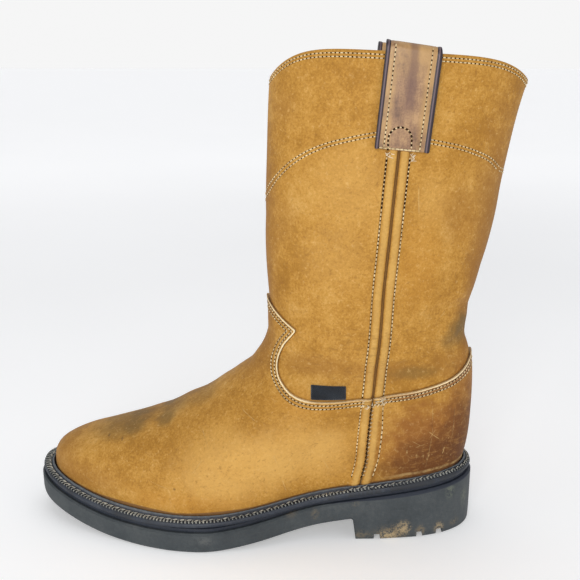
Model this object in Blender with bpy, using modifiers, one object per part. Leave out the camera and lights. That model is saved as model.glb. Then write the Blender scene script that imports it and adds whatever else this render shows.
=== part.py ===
"""Western work boot, left foot, pull-on, standing empty on its sole.

Frame: +Z up, toe towards -X, outer side of the foot towards -Y, inner side towards +Y.
The origin is the centre of the heel's flat floor face. Metres.
"""
import math
from collections import namedtuple
from functools import lru_cache

import bmesh
import bpy
import numpy as np
from mathutils import Vector

# Sole
SOLE_LENGTH = 0.310
BALL_WIDTH = 0.117
HEEL_LENGTH = 0.081
HEEL_RISE = 0.0247
TOE_SPRING = 0.0147
OUTSOLE_THICKNESS = 0.0138
SOLE_EDGE_ROUND = 0.0012
TREAD_EDGE_ROUND = 0.0016
HEEL_BREAST_LEAN = 0.0022
LUG_WIDTH = 0.0042
LUG_DEPTH = 0.0040
LUG_REACH = 0.015
TREAD_GROOVE_WIDTH = 0.0045
TREAD_GROOVE_DEPTH = 0.0030
TREAD_GROOVE_PITCH = 0.0120
TREAD_BORDER = 0.013

# Midsole, welt and insole
MIDSOLE_THICKNESS = 0.0023
MIDSOLE_RECESS = 0.0016
WELT_THICKNESS = 0.0040
WELT_LIP_HEIGHT = 0.0026
WELT_LIP_WIDTH = 0.0022
INSOLE_THICKNESS = 0.0040
WELT_REACH_TOE = 0.0112
WELT_REACH_SIDE = 0.0094
WELT_REACH_HEEL = 0.0082

# Upper
COLLAR_HEIGHT = 0.3235
INSTEP_HEIGHT = 0.110
SHAFT_WIDTH = 0.086
COLLAR_DIP_FRONT = 0.020
COLLAR_DIP_BACK = 0.014
WALL = 0.0020
SEAM_RELIEF = 0.0010
SEAM_GROOVE = 0.0018
SEAM_BAND = 0.0048
SEAM_EDGE = 0.0010

# Overlays, straps and tag
OVERLAY_THICKNESS = 0.0015
OVERLAY_JOINT = 0.0006
STRAP_WIDTH = 0.0315
STRAP_DROP = 0.056
STRAP_INNER_DROP = 0.045
STRAP_THICKNESS = 0.0022
STRAP_LOOP_RISE = 0.0040
STRAP_LEAN = 0.0050
STRAP_OFF_SEAM = 0.0025
LABEL_LENGTH = 0.0225
LABEL_HEIGHT = 0.0088
LABEL_THICKNESS = 0.0008

GAP = 0.0003
SEAT_CLEARANCE = 0.0007
SOLE_COLUMNS = 60
FRONT_COLUMNS = 10
BACK_COLUMNS = 7

HEEL_BACK = HEEL_LENGTH / 2
TOE_TIP = HEEL_BACK - SOLE_LENGTH
MIDSOLE_BASE = GAP
WELT_BASE = MIDSOLE_BASE + MIDSOLE_THICKNESS + GAP
WELT_TOP = WELT_BASE + WELT_THICKNESS
FEATHER = WELT_TOP + WELT_LIP_HEIGHT

# Sole outline. turn is 0 degrees at the toe's tip and 180 at the heel's back, the widths are
# shares of BALL_WIDTH on the outer and inner side.
Outline = namedtuple("Outline", "turn outer inner")
SOLE_OUTLINE = (
    Outline(0, 0.605, 0.605),
    Outline(18, 0.596, 0.580),
    Outline(36, 0.568, 0.540),
    Outline(54, 0.572, 0.502),
    Outline(72, 0.595, 0.468),
    Outline(90, 0.516, 0.385),
    Outline(108, 0.398, 0.298),
    Outline(126, 0.430, 0.366),
    Outline(144, 0.480, 0.450),
    Outline(162, 0.520, 0.505),
    Outline(180, 0.530, 0.530),
)
TOE_SWING = 0.065

# Sole seen from the side. along is the share of SOLE_LENGTH from the heel's back, heel and toe
# are shares of HEEL_RISE and TOE_SPRING.
Side = namedtuple("Side", "along heel toe")
SOLE_SIDE = (
    Side(0.00, 1.00, 0.00),
    Side(0.13, 0.84, 0.00),
    Side(0.26, 0.64, 0.00),
    Side(0.36, 0.44, 0.00),
    Side(0.48, 0.15, 0.00),
    Side(0.58, 0.00, 0.00),
    Side(0.74, 0.00, 0.00),
    Side(0.80, 0.00, 0.08),
    Side(0.87, 0.00, 0.33),
    Side(0.94, 0.00, 0.67),
    Side(1.00, 0.00, 1.00),
)

# Rings of the upper from the welt to the collar. front and back are shares of SOLE_LENGTH from the
# heel's back, their rises are shares of INSTEP_HEIGHT above the welt, shaft is the share of the
# shaft above the instep, follow is how much the ring keeps the sole's outline, the widths are
# shares of SHAFT_WIDTH round the ring, and seam is where the side seam crosses it.
Ring = namedtuple(
    "Ring", "front front_rise back back_rise shaft follow swing "
    "tip outer_fore outer_rear heel inner_rear inner_fore seam")
RINGS = (
    Ring(0.958, 0.00, 0.022, 0.00, 0.00, 1.00, 0.060, 0.50, 0.58, 0.40, 0.42, 0.34, 0.50, 0.256),
    Ring(0.957, 0.06, 0.016, 0.07, 0.00, 0.98, 0.058, 0.56, 0.66, 0.46, 0.46, 0.44, 0.56, 0.251),
    Ring(0.941, 0.14, 0.012, 0.15, 0.00, 0.95, 0.056, 0.56, 0.66, 0.46, 0.46, 0.44, 0.56, 0.245),
    Ring(0.905, 0.22, 0.010, 0.23, 0.00, 0.90, 0.054, 0.56, 0.64, 0.46, 0.46, 0.44, 0.56, 0.243),
    Ring(0.835, 0.315, 0.010, 0.31, 0.00, 0.80, 0.046, 0.54, 0.62, 0.45, 0.45, 0.44, 0.55, 0.241),
    Ring(0.750, 0.405, 0.010, 0.39, 0.00, 0.66, 0.036, 0.53, 0.58, 0.44, 0.44, 0.44, 0.53, 0.239),
    Ring(0.664, 0.510, 0.011, 0.47, 0.00, 0.48, 0.026, 0.52, 0.54, 0.43, 0.43, 0.43, 0.51, 0.237),
    Ring(0.582, 0.645, 0.013, 0.56, 0.00, 0.30, 0.018, 0.50, 0.50, 0.42, 0.42, 0.42, 0.48, 0.234),
    Ring(0.518, 0.760, 0.016, 0.64, 0.00, 0.15, 0.010, 0.47, 0.47, 0.41, 0.40, 0.41, 0.46, 0.231),
    Ring(0.476, 0.870, 0.021, 0.73, 0.00, 0.06, 0.004, 0.44, 0.445, 0.40, 0.38, 0.40, 0.44, 0.228),
    Ring(0.460, 1.000, 0.029, 0.82, 0.00, 0.00, 0.00, 0.43, 0.430, 0.40, 0.37, 0.40, 0.43, 0.224),
    Ring(0.457, 1.000, 0.030, 0.82, 0.08, 0.00, 0.00, 0.43, 0.430, 0.40, 0.37, 0.40, 0.43, 0.221),
    Ring(0.464, 1.000, 0.014, 0.82, 0.20, 0.00, 0.00, 0.44, 0.440, 0.41, 0.39, 0.41, 0.44, 0.218),
    Ring(0.468, 1.000, -0.012, 0.82, 0.36, 0.00, 0.00, 0.45, 0.455, 0.43, 0.42, 0.43, 0.455, 0.211),
    Ring(0.465, 1.000, -0.026, 0.82, 0.54, 0.00, 0.00, 0.46, 0.470, 0.45, 0.44, 0.45, 0.470, 0.204),
    Ring(0.462, 1.000, -0.042, 0.82, 0.72, 0.00, 0.00, 0.47, 0.485, 0.47, 0.46, 0.47, 0.485, 0.196),
    Ring(0.459, 1.000, -0.058, 0.795, 0.88, 0.00, 0.00, 0.48, 0.495, 0.49, 0.48, 0.49, 0.495, 0.190),
    Ring(0.456, 1.000, -0.066, 0.745, 1.00, 0.00, 0.00, 0.48, 0.500, 0.50, 0.49, 0.50, 0.500, 0.186),
)
COLLAR_START = 0.70
COLLAR_LEVEL = float(len(RINGS) - 1)

# Front edge of the shaft on the vamp, and top edge of the counter, seen from the side: along is a
# share of SOLE_LENGTH from the heel's back, height a share of COLLAR_HEIGHT.
Edge = namedtuple("Edge", "along height")
VAMP_EDGE = (
    Edge(0.475, 0.512),
    Edge(0.452, 0.486),
    Edge(0.428, 0.466),
    Edge(0.406, 0.452),
    Edge(0.399, 0.447),
    Edge(0.406, 0.436),
    Edge(0.422, 0.415),
    Edge(0.434, 0.390),
    Edge(0.437, 0.370),
    Edge(0.431, 0.350),
    Edge(0.410, 0.329),
    Edge(0.378, 0.318),
    Edge(0.330, 0.315),
    Edge(0.235, 0.318),
)
COUNTER_EDGE = (
    Edge(0.235, 0.318),
    Edge(0.175, 0.323),
    Edge(0.137, 0.328),
    Edge(0.098, 0.336),
    Edge(0.063, 0.346),
    Edge(0.038, 0.359),
    Edge(0.022, 0.375),
    Edge(0.010, 0.395),
    Edge(-0.010, 0.412),
)
OVERLAY_TOP_LEVEL = 12.0
LABEL_PLACE = Edge(0.3275, 0.3325)

LUG_PLACES = (0.17, 0.53, 0.70)
TREAD_FIRST = 0.600
TREAD_COUNT = 7


def smooth(stations, values, at):
    """Value at a station on a smooth curve through the rows, which never overshoots a row."""
    stations = np.asarray(stations, dtype=float)
    values = np.asarray(values, dtype=float)
    if values.ndim == 1:
        values = values[:, None]
    at = min(max(at, stations[0]), stations[-1])
    steps = np.diff(stations)
    slopes = np.diff(values, axis=0) / steps[:, None]
    tangents = np.zeros_like(values)
    tangents[0] = slopes[0]
    tangents[-1] = slopes[-1]
    for row in range(1, len(stations) - 1):
        before, after = slopes[row - 1], slopes[row]
        mean = (steps[row] * before + steps[row - 1] * after) / (steps[row] + steps[row - 1])
        limit = 3 * np.minimum(np.abs(before), np.abs(after))
        tangents[row] = np.where(before * after > 0, np.clip(mean, -limit, limit), 0)
    row = int(min(max(np.searchsorted(stations, at) - 1, 0), len(steps) - 1))
    step = steps[row]
    share = (at - stations[row]) / step
    start = (1 + 2 * share) * (1 - share) ** 2 * values[row]
    start += share * (1 - share) ** 2 * step * tangents[row]
    end = share ** 2 * (3 - 2 * share) * values[row + 1]
    end += share ** 2 * (share - 1) * step * tangents[row + 1]
    return start + end


def along_at(x):
    return (HEEL_BACK - x) / SOLE_LENGTH


def x_at(along):
    return HEEL_BACK - along * SOLE_LENGTH


@lru_cache(maxsize=None)
def tread_height(x):
    """Height of the plate's underside, without the heel block."""
    heel, toe = smooth([row.along for row in SOLE_SIDE], [row[1:] for row in SOLE_SIDE], along_at(x))
    return float(heel * HEEL_RISE + toe * TOE_SPRING)


def sole_top(x):
    return tread_height(x) + OUTSOLE_THICKNESS


@lru_cache(maxsize=None)
def sole_width(turn):
    """Width share of the outline at a turn in degrees, 0 to 360, outer side first."""
    folded = turn if turn <= 180 else 360 - turn
    outer, inner = smooth([row.turn for row in SOLE_OUTLINE], [row[1:] for row in SOLE_OUTLINE], folded)
    return float(outer if turn <= 180 else inner) * BALL_WIDTH


def sole_point(turn, inset):
    """Point of the sole's outline, moved inwards by inset."""
    angle = math.radians(turn)
    half = (SOLE_LENGTH / 2) - inset
    x = (TOE_TIP + HEEL_BACK) / 2 - half * math.cos(angle)
    swing = TOE_SWING * BALL_WIDTH * math.cos(angle / 2) ** 2
    y = swing - (sole_width(turn) - inset) * math.sin(angle)
    return x, y


def welt_reach(turn):
    """Distance from the sole's edge in to the upper."""
    front = math.cos(math.radians(turn))
    end = WELT_REACH_TOE if front > 0 else WELT_REACH_HEEL
    return WELT_REACH_SIDE + (end - WELT_REACH_SIDE) * front * front


@lru_cache(maxsize=None)
def ring_at(level):
    values = smooth(range(len(RINGS)), RINGS, level)
    return Ring(*[float(value) for value in values])


def ring_width(ring, turn):
    """Width share of the ring's own shape, a smooth loop through its six widths."""
    widths = ring[7:13]
    sector = (turn % 360) / 60
    index = int(sector) % 6
    share = sector - int(sector)
    before, start, end, after = [widths[(index + step) % 6] for step in (-1, 0, 1, 2)]
    bend = (2 * before - 5 * start + 4 * end - after) * share ** 2
    bend += (3 * start - before - 3 * end + after) * share ** 3
    return (start + ((end - before) * share + bend) / 2) * SHAFT_WIDTH


def upper_point(turn, level):
    """Point of the upper's outer face. turn runs 0 to 360 from the toe by the outer side."""
    ring = ring_at(level)
    angle = math.radians(turn)
    toe_reach = WELT_REACH_TOE / SOLE_LENGTH
    heel_reach = WELT_REACH_HEEL / SOLE_LENGTH
    front = x_at(ring.front) + (toe_reach + RINGS[0].front - 1) * SOLE_LENGTH * ring.follow
    back = x_at(ring.back) - (heel_reach - RINGS[0].back) * SOLE_LENGTH * ring.follow
    share = (1 - math.cos(angle)) / 2
    x = front + (back - front) * share
    outline = sole_width(turn % 360) - welt_reach(turn)
    half = ring.follow * outline + (1 - ring.follow) * ring_width(ring, turn)
    swing = ring.swing * BALL_WIDTH * math.cos(angle / 2) ** 2
    y = swing - half * math.sin(angle)
    straight = sole_top(front) + (sole_top(back) - sole_top(front)) * share
    base = ring.follow * sole_top(x) + (1 - ring.follow) * straight + FEATHER
    rise = ring.front_rise + (ring.back_rise - ring.front_rise) * share
    ankle = sole_top(x_at(RINGS[10].front)) + FEATHER + INSTEP_HEIGHT
    shaft = ring.shaft * (COLLAR_HEIGHT - ankle)
    dip = max(0.0, (ring.shaft - COLLAR_START) / (1 - COLLAR_START)) ** 2
    corner = COLLAR_DIP_FRONT if share < 0.5 else COLLAR_DIP_BACK
    z = base + rise * INSTEP_HEIGHT + shaft - corner * dip * math.cos(angle) ** 6
    return np.array((x, y, z))


def upper_normal(turn, level):
    small = 0.05
    low, high = max(level - small, 0.0), min(level + small, COLLAR_LEVEL)
    round_step = upper_point(turn + 0.5, level) - upper_point(turn - 0.5, level)
    up_step = upper_point(turn, high) - upper_point(turn, low)
    normal = np.cross(round_step, up_step)
    return normal / np.linalg.norm(normal)


def skin(turn, level, offset):
    """Point at a distance outside the upper's outer face."""
    return upper_point(turn, level) + upper_normal(turn, level) * offset


def margin_point(turn, offset, height):
    """Point beside the upper's lower edge, at a height above the outsole's top."""
    point = upper_point(turn, 0.0)
    normal = upper_normal(turn, 0.0)
    flat = np.array((normal[0], normal[1], 0.0))
    point = point + flat / np.linalg.norm(flat) * offset
    point[2] = sole_top(point[0]) + height
    return point


def turn_at(x, level, inner):
    """Turn at which the ring of a level passes x, on the outer or the inner side."""
    front = upper_point(0, level)[0]
    back = upper_point(180, level)[0]
    share = min(max((x - front) / (back - front), 0.0), 1.0)
    turn = math.degrees(math.acos(1 - 2 * share))
    return 360 - turn if inner else turn


def seam_columns(level, inner):
    """Turns and heights of the raised double band of a side seam, front to back."""
    centre = x_at(ring_at(level).seam)
    steps = (SEAM_GROOVE / 2, SEAM_BAND, SEAM_EDGE)
    reach = [sum(steps[:count]) for count in (3, 2, 1)]
    places = [-value for value in reach] + [0.0] + reach[::-1]
    heights = [0.0, SEAM_RELIEF, SEAM_RELIEF, 0.0, SEAM_RELIEF, SEAM_RELIEF, 0.0]
    return [(turn_at(centre + place, level, inner), height) for place, height in zip(places, heights)]


def ring_columns(level):
    """Turns and band heights of the columns all the way round a level."""
    half_rings = []
    for inner in (False, True):
        seam = seam_columns(level, inner)
        first = seam[0][0] if not inner else 360 - seam[0][0]
        last = seam[-1][0] if not inner else 360 - seam[-1][0]
        front = [(first * step / FRONT_COLUMNS, 0.0) for step in range(FRONT_COLUMNS)]
        back = [(last + (180 - last) * step / BACK_COLUMNS, 0.0) for step in range(1, BACK_COLUMNS + 1)]
        middle = [(turn if not inner else 360 - turn, height) for turn, height in seam]
        half_rings.append(front + middle + back)
    outer, inner = half_rings
    return outer + [(360 - turn, height) for turn, height in inner[-2:0:-1]]


def wall_levels(top):
    """Levels of the rows of a wall, closer together where the profile turns."""
    levels = [0.0, 0.5, 1.0]
    levels += [1.0 + step / 2 for step in range(1, 3)]
    levels += [float(level) for level in range(3, 12)]
    levels += [7.5, 8.5, 9.5, 10.5]
    levels += [12.0, 12.7, 13.4, 14.1, 14.8, 15.5, 16.2, 16.6, 17.0]
    return sorted(level for level in set(levels) if level <= top)


def material(name, colour, roughness, metallic=0.0):
    finish = bpy.data.materials.new(name)
    finish.use_nodes = True
    shader = finish.node_tree.nodes["Principled BSDF"]
    shader.inputs["Base Color"].default_value = (*colour, 1.0)
    shader.inputs["Roughness"].default_value = roughness
    shader.inputs["Metallic"].default_value = metallic
    finish.diffuse_color = (*colour, 1.0)
    return finish


def place_object(name, mesh, collection, finish=None):
    piece = bpy.data.objects.new(name, mesh)
    collection.objects.link(piece)
    if finish is not None:
        mesh.materials.append(finish)
    return piece


def grid_mesh(name, rows, closed_round, closed_up=False):
    """Mesh through rows of points: round is along a row, up is from row to row.

    Each four-sided field is split the same way, so that walls laid on each other stay parallel.
    """
    mesh = bpy.data.meshes.new(name)
    shape = bmesh.new()
    lines = [[shape.verts.new(Vector(point)) for point in row] for row in rows]
    across = len(lines[0]) if closed_round else len(lines[0]) - 1
    upwards = len(lines) if closed_up else len(lines) - 1
    for row in range(upwards):
        lower, upper = lines[row], lines[(row + 1) % len(lines)]
        for column in range(across):
            beside = (column + 1) % len(lower)
            shape.faces.new((lower[column], lower[beside], upper[beside]))
            shape.faces.new((lower[column], upper[beside], upper[column]))
    return mesh, shape, lines


def close_ends(shape, line, upwards):
    """Cover a ring of points with strips from its outer to its inner side."""
    count = len(line)
    half = count // 2
    for step in range(half):
        outer, outer_next = line[step], line[step + 1]
        inner, inner_next = line[-step % count], line[count - step - 1]
        corners = []
        for vert in (outer, outer_next, inner_next, inner):
            if vert not in corners:
                corners.append(vert)
        shape.faces.new(corners if not upwards else corners[::-1])


def finish_mesh(mesh, shape, sharp_degrees=40):
    bmesh.ops.recalc_face_normals(shape, faces=shape.faces)
    shape.to_mesh(mesh)
    shape.free()
    mesh.shade_smooth()
    mesh.set_sharp_from_angle(angle=math.radians(sharp_degrees))


def add_modifier(piece, kind, name, **settings):
    modifier = piece.modifiers.new(name, kind)
    for setting, value in settings.items():
        setattr(modifier, setting, value)
    return modifier


def cut(piece, cutter, operation):
    add_modifier(piece, "BOOLEAN", cutter.name, object=cutter, operation=operation, solver="EXACT")
    cutter.hide_render = True
    cutter.display_type = "WIRE"


def box(name, centre, size, collection, turn=0.0):
    mesh = bpy.data.meshes.new(name)
    shape = bmesh.new()
    bmesh.ops.create_cube(shape, size=1.0)
    bmesh.ops.scale(shape, vec=Vector(size), verts=shape.verts)
    shape.to_mesh(mesh)
    shape.free()
    piece = place_object(name, mesh, collection)
    piece.location = centre
    piece.rotation_euler = (0.0, 0.0, turn)
    return piece


def sole_turns():
    """Turns of the outsole's columns, with a pair at the heel's breast and one at each flat's end."""
    half = SOLE_LENGTH / 2
    centre = (TOE_TIP + HEEL_BACK) / 2
    breast = HEEL_BACK - HEEL_LENGTH
    marks = [breast, breast - HEEL_BREAST_LEAN]
    marks += [x_at(row.along) for row in SOLE_SIDE if row.along in (0.58, 0.74)]
    special = [math.degrees(math.acos((centre - x) / half)) for x in marks]
    even = [180 * step / (SOLE_COLUMNS // 2) for step in range(SOLE_COLUMNS // 2 + 1)]
    kept = [turn for turn in even if all(abs(turn - mark) > 1.6 for mark in special)]
    one_side = sorted(kept + special)
    return one_side + [360 - turn for turn in one_side[-2:0:-1]]


def make_outsole(parts, cutters, finish):
    breast = HEEL_BACK - HEEL_LENGTH
    turns = sole_turns()

    def floor_height(turn):
        x = sole_point(turn, 0.0)[0]
        return 0.0 if x > breast - HEEL_BREAST_LEAN / 2 else tread_height(x)

    rows = []
    layers = (
        (TREAD_EDGE_ROUND, 0.0),
        (TREAD_EDGE_ROUND * 0.35, TREAD_EDGE_ROUND * 0.30),
        (0.0, TREAD_EDGE_ROUND),
    )
    for inset, lift in layers:
        rows.append([(*sole_point(turn, inset), floor_height(turn) + lift) for turn in turns])
    for inset, drop in ((0.0, SOLE_EDGE_ROUND), (SOLE_EDGE_ROUND, 0.0)):
        row = []
        for turn in turns:
            x, y = sole_point(turn, inset)
            row.append((x, y, sole_top(x) - drop))
        rows.append(row)
    mesh, shape, lines = grid_mesh("outsole", rows, True)
    close_ends(shape, lines[0], True)
    close_ends(shape, lines[-1], False)
    finish_mesh(mesh, shape)
    outsole = place_object("outsole", mesh, parts, finish)
    for number, place in enumerate(LUG_PLACES):
        x = breast + place * HEEL_LENGTH
        for side in (-1, 1):
            turn = turn_on_sole(x, side > 0)
            edge = sole_point(turn, 0.0)[1]
            y = edge - side * LUG_REACH / 2
            cutter = box(f"heel_lug_{number}_{side}", (x, y, 0.0),
                         (LUG_WIDTH, LUG_REACH * 1.4, LUG_DEPTH * 2), cutters)
            cut(outsole, cutter, "DIFFERENCE")
    for number in range(TREAD_COUNT):
        x = x_at(TREAD_FIRST) - number * TREAD_GROOVE_PITCH
        outer = sole_point(turn_on_sole(x, False), TREAD_BORDER)[1]
        inner = sole_point(turn_on_sole(x, True), TREAD_BORDER)[1]
        depth = TREAD_GROOVE_DEPTH
        cutter = box(f"tread_groove_{number}", (x, (outer + inner) / 2, tread_height(x)),
                     (TREAD_GROOVE_WIDTH, inner - outer, depth * 2), cutters)
        cut(outsole, cutter, "DIFFERENCE")
    return outsole


def turn_on_sole(x, inner):
    centre = (TOE_TIP + HEEL_BACK) / 2
    turn = math.degrees(math.acos((centre - x) * 2 / SOLE_LENGTH))
    return 360 - turn if inner else turn


def plate_rows(turns, insets_and_heights):
    rows = []
    for inset, height in insets_and_heights:
        row = []
        for turn in turns:
            x, y = sole_point(turn, inset)
            row.append((x, y, sole_top(x) + height))
        rows.append(row)
    return rows


def make_midsole(parts, finish):
    turns = sole_turns()
    inset = SOLE_EDGE_ROUND + MIDSOLE_RECESS
    rows = plate_rows(turns, ((inset, MIDSOLE_BASE), (inset, MIDSOLE_BASE + MIDSOLE_THICKNESS)))
    mesh, shape, lines = grid_mesh("midsole", rows, True)
    close_ends(shape, lines[0], True)
    close_ends(shape, lines[-1], False)
    finish_mesh(mesh, shape)
    return place_object("midsole", mesh, parts, finish)


def make_welt(parts, finish):
    """Ring round the upper's foot with a rounded edge and a lip that stands against the leather."""
    inner = GAP + OVERLAY_THICKNESS + SEAT_CLEARANCE
    rows = []
    low, high = WELT_BASE, WELT_TOP
    columns = ring_columns(0.0)
    turns = [turn for turn, height in columns]
    bands = [height for turn, height in columns]
    lip = (
        (inner, low),
        (inner, high + WELT_LIP_HEIGHT * 0.75),
        (inner + WELT_LIP_WIDTH * 0.4, high + WELT_LIP_HEIGHT),
        (inner + WELT_LIP_WIDTH, high + WELT_LIP_HEIGHT * 0.5),
        (inner + WELT_LIP_WIDTH * 1.3, high),
    )
    for offset, height in lip:
        rows.append([margin_point(turn, offset + band, height) for turn, band in zip(turns, bands)])
    round_off = WELT_THICKNESS * 0.35
    for inset, height in ((SOLE_EDGE_ROUND * 1.4, high), (SOLE_EDGE_ROUND * 0.4, high - round_off),
                          (SOLE_EDGE_ROUND * 0.4, low + round_off), (SOLE_EDGE_ROUND, low)):
        row = []
        for turn in turns:
            x, y = sole_point(turn, inset)
            row.append((x, y, sole_top(x) + height))
        rows.append(row)
    mesh, shape, lines = grid_mesh("welt", rows, True, closed_up=True)
    finish_mesh(mesh, shape)
    return place_object("welt", mesh, parts, finish)


def make_insole(parts, finish):
    offset = -(WALL + SEAT_CLEARANCE)
    turns = [turn for turn, height in ring_columns(0.0)]
    rows = []
    for height in (WELT_BASE, WELT_BASE + INSOLE_THICKNESS):
        rows.append([margin_point(turn, offset, height) for turn in turns])
    mesh, shape, lines = grid_mesh("insole", rows, True)
    close_ends(shape, lines[0], True)
    close_ends(shape, lines[-1], False)
    finish_mesh(mesh, shape)
    return place_object("insole", mesh, parts, finish)


def wall_rows(offset, top, foot_height):
    """Rows of the upper's form at an offset, from the midsole up to a level."""
    rows = []
    columns = ring_columns(0.0)
    rows.append([margin_point(turn, offset + band, foot_height) for turn, band in columns])
    for level in wall_levels(top):
        rows.append([skin(turn, level, offset + band) for turn, band in ring_columns(level)])
    return rows


def make_upper(parts, finish):
    mesh, shape, lines = grid_mesh("upper", wall_rows(0.0, COLLAR_LEVEL, WELT_BASE + GAP), True)
    finish_mesh(mesh, shape)
    upper = place_object("upper", mesh, parts, finish)
    add_modifier(upper, "SOLIDIFY", "wall", thickness=WALL, offset=-1.0)
    return upper


def edge_outline(rows, closing):
    """Outline seen from the side: a smooth line through the rows, closed round the piece below."""
    points = [(x_at(row.along), row.height * COLLAR_HEIGHT) for row in rows]
    fine = []
    count = len(points)
    for index in range(count - 1):
        before = points[max(index - 1, 0)]
        start, end = points[index], points[index + 1]
        after = points[min(index + 2, count - 1)]
        for step in range(2):
            share = step / 2
            place = []
            for a, b, c, d in zip(before, start, end, after):
                bend = (2 * a - 5 * b + 4 * c - d) * share ** 2 + (3 * b - a - 3 * c + d) * share ** 3
                place.append(b + ((c - a) * share + bend) / 2)
            fine.append(tuple(place))
    return fine + [points[-1]] + closing


def prism(name, outline, collection):
    """Solid as wide as the boot, over an outline in the side view."""
    mesh = bpy.data.meshes.new(name)
    shape = bmesh.new()
    face = shape.faces.new([shape.verts.new((x, -BALL_WIDTH, z)) for x, z in outline])
    swept = bmesh.ops.extrude_face_region(shape, geom=[face])
    verts = [item for item in swept["geom"] if isinstance(item, bmesh.types.BMVert)]
    bmesh.ops.translate(shape, vec=Vector((0.0, 2 * BALL_WIDTH, 0.0)), verts=verts)
    finish_mesh(mesh, shape)
    return place_object(name, mesh, collection)


def seam_line(low, high, shift, count=9):
    """Points down the side seam's centre, seen from the side, moved along by shift."""
    points = []
    for step in range(count):
        level = low + (high - low) * step / (count - 1)
        x = x_at(ring_at(level).seam) + shift
        turn = turn_at(x, level, False)
        points.append((x, float(upper_point(turn, level)[2])))
    return points


def make_overlay(name, edge_rows, closing, parts, cutters, finish):
    rows = wall_rows(GAP, OVERLAY_TOP_LEVEL, WELT_BASE + SEAT_CLEARANCE)
    mesh, shape, lines = grid_mesh(name, rows, True)
    finish_mesh(mesh, shape)
    overlay = place_object(name, mesh, parts, finish)
    add_modifier(overlay, "SOLIDIFY", "leather", thickness=OVERLAY_THICKNESS, offset=1.0)
    cut(overlay, prism(name + "_outline", edge_outline(edge_rows, closing), cutters), "INTERSECT")
    return overlay


def level_at_height(x, height):
    """Level whose ring passes a height at x on the outer side."""
    low, high = 0.0, COLLAR_LEVEL
    for _ in range(24):
        level = (low + high) / 2
        if upper_point(turn_at(x, level, False), level)[2] < height:
            low = level
        else:
            high = level
    return (low + high) / 2


def seam_top_level(edge):
    x = x_at(edge.along)
    return level_at_height(x, edge.height * COLLAR_HEIGHT)


def make_vamp(parts, cutters, finish):
    top_level = seam_top_level(VAMP_EDGE[-1])
    seam = seam_line(0.0, top_level, -OVERLAY_JOINT / 2)[::-1]
    below = -OUTSOLE_THICKNESS
    closing = seam + [(seam[-1][0], below), (TOE_TIP * 1.1, below), (TOE_TIP * 1.1, 0.512 * COLLAR_HEIGHT)]
    return make_overlay("vamp", VAMP_EDGE[:-1], closing, parts, cutters, finish)


def make_counter(parts, cutters, finish):
    top_level = seam_top_level(COUNTER_EDGE[0])
    seam = seam_line(0.0, top_level, OVERLAY_JOINT / 2)
    below = -OUTSOLE_THICKNESS
    behind = HEEL_BACK * 1.6
    closing = [(behind, COUNTER_EDGE[-1].height * COLLAR_HEIGHT), (behind, below), (seam[0][0], below)]
    return make_overlay("counter", COUNTER_EDGE[1:], closing + seam, parts, cutters, finish)


def strap_row(level, offset, lift, centre, inner):
    """Points across the strap, square to its lean."""
    count = 6
    slope = STRAP_LEAN / STRAP_DROP
    row = []
    for step in range(count + 1):
        across = STRAP_WIDTH * (step / count - 0.5)
        point = skin(turn_at(centre + across, level, inner), level, offset)
        row.append(point + np.array((0.0, 0.0, lift - across * slope)))
    return row


def make_pull_strap(name, inner, parts, finish):
    """Leather strap, looped over the collar and sewn down outside and inside the shaft."""
    outside = GAP + SEAM_RELIEF + STRAP_THICKNESS / 2
    within = -(WALL + GAP + SEAM_RELIEF + STRAP_THICKNESS / 2)
    centre_top = x_at(RINGS[-1].seam) + STRAP_OFF_SEAM
    collar = float(upper_point(turn_at(centre_top, COLLAR_LEVEL, inner), COLLAR_LEVEL)[2])

    def leg(drop, offset, steps):
        rows = []
        for step in range(steps + 1):
            fallen = drop * step / steps
            centre = centre_top - STRAP_LEAN * fallen / STRAP_DROP
            level = level_at_height(centre, collar - fallen) if step else COLLAR_LEVEL
            rows.append(strap_row(level, offset, 0.0, centre, inner))
        return rows

    middle = (outside + within) / 2
    reach = (outside - within) / 2
    loop = []
    for step in range(1, 6):
        angle = math.pi * step / 6
        offset = middle + reach * math.cos(angle)
        loop.append(strap_row(COLLAR_LEVEL, offset, STRAP_LOOP_RISE * math.sin(angle), centre_top, inner))
    grid = leg(STRAP_DROP, outside, 6)[::-1] + loop + leg(STRAP_INNER_DROP, within, 4)
    mesh, shape, lines = grid_mesh(name, grid, False)
    finish_mesh(mesh, shape)
    strap = place_object(name, mesh, parts, finish)
    add_modifier(strap, "SOLIDIFY", "leather", thickness=STRAP_THICKNESS, offset=0.0,
                 use_even_offset=True)
    return strap


def make_label(parts, finish):
    x_middle = x_at(LABEL_PLACE.along)
    z_middle = LABEL_PLACE.height * COLLAR_HEIGHT
    rows = []
    for up in (0, 1, 2):
        row = []
        for step in range(5):
            x = x_middle + LABEL_LENGTH * (step / 4 - 0.5)
            z = z_middle + LABEL_HEIGHT * (up / 2 - 0.5)
            level = level_at_height(x, z)
            row.append(skin(turn_at(x, level, False), level, GAP))
        rows.append(row)
    mesh, shape, lines = grid_mesh("side_label", rows, False)
    finish_mesh(mesh, shape)
    label = place_object("side_label", mesh, parts, finish)
    add_modifier(label, "SOLIDIFY", "cloth", thickness=LABEL_THICKNESS, offset=1.0,
                 use_even_offset=True)
    return label


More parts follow.
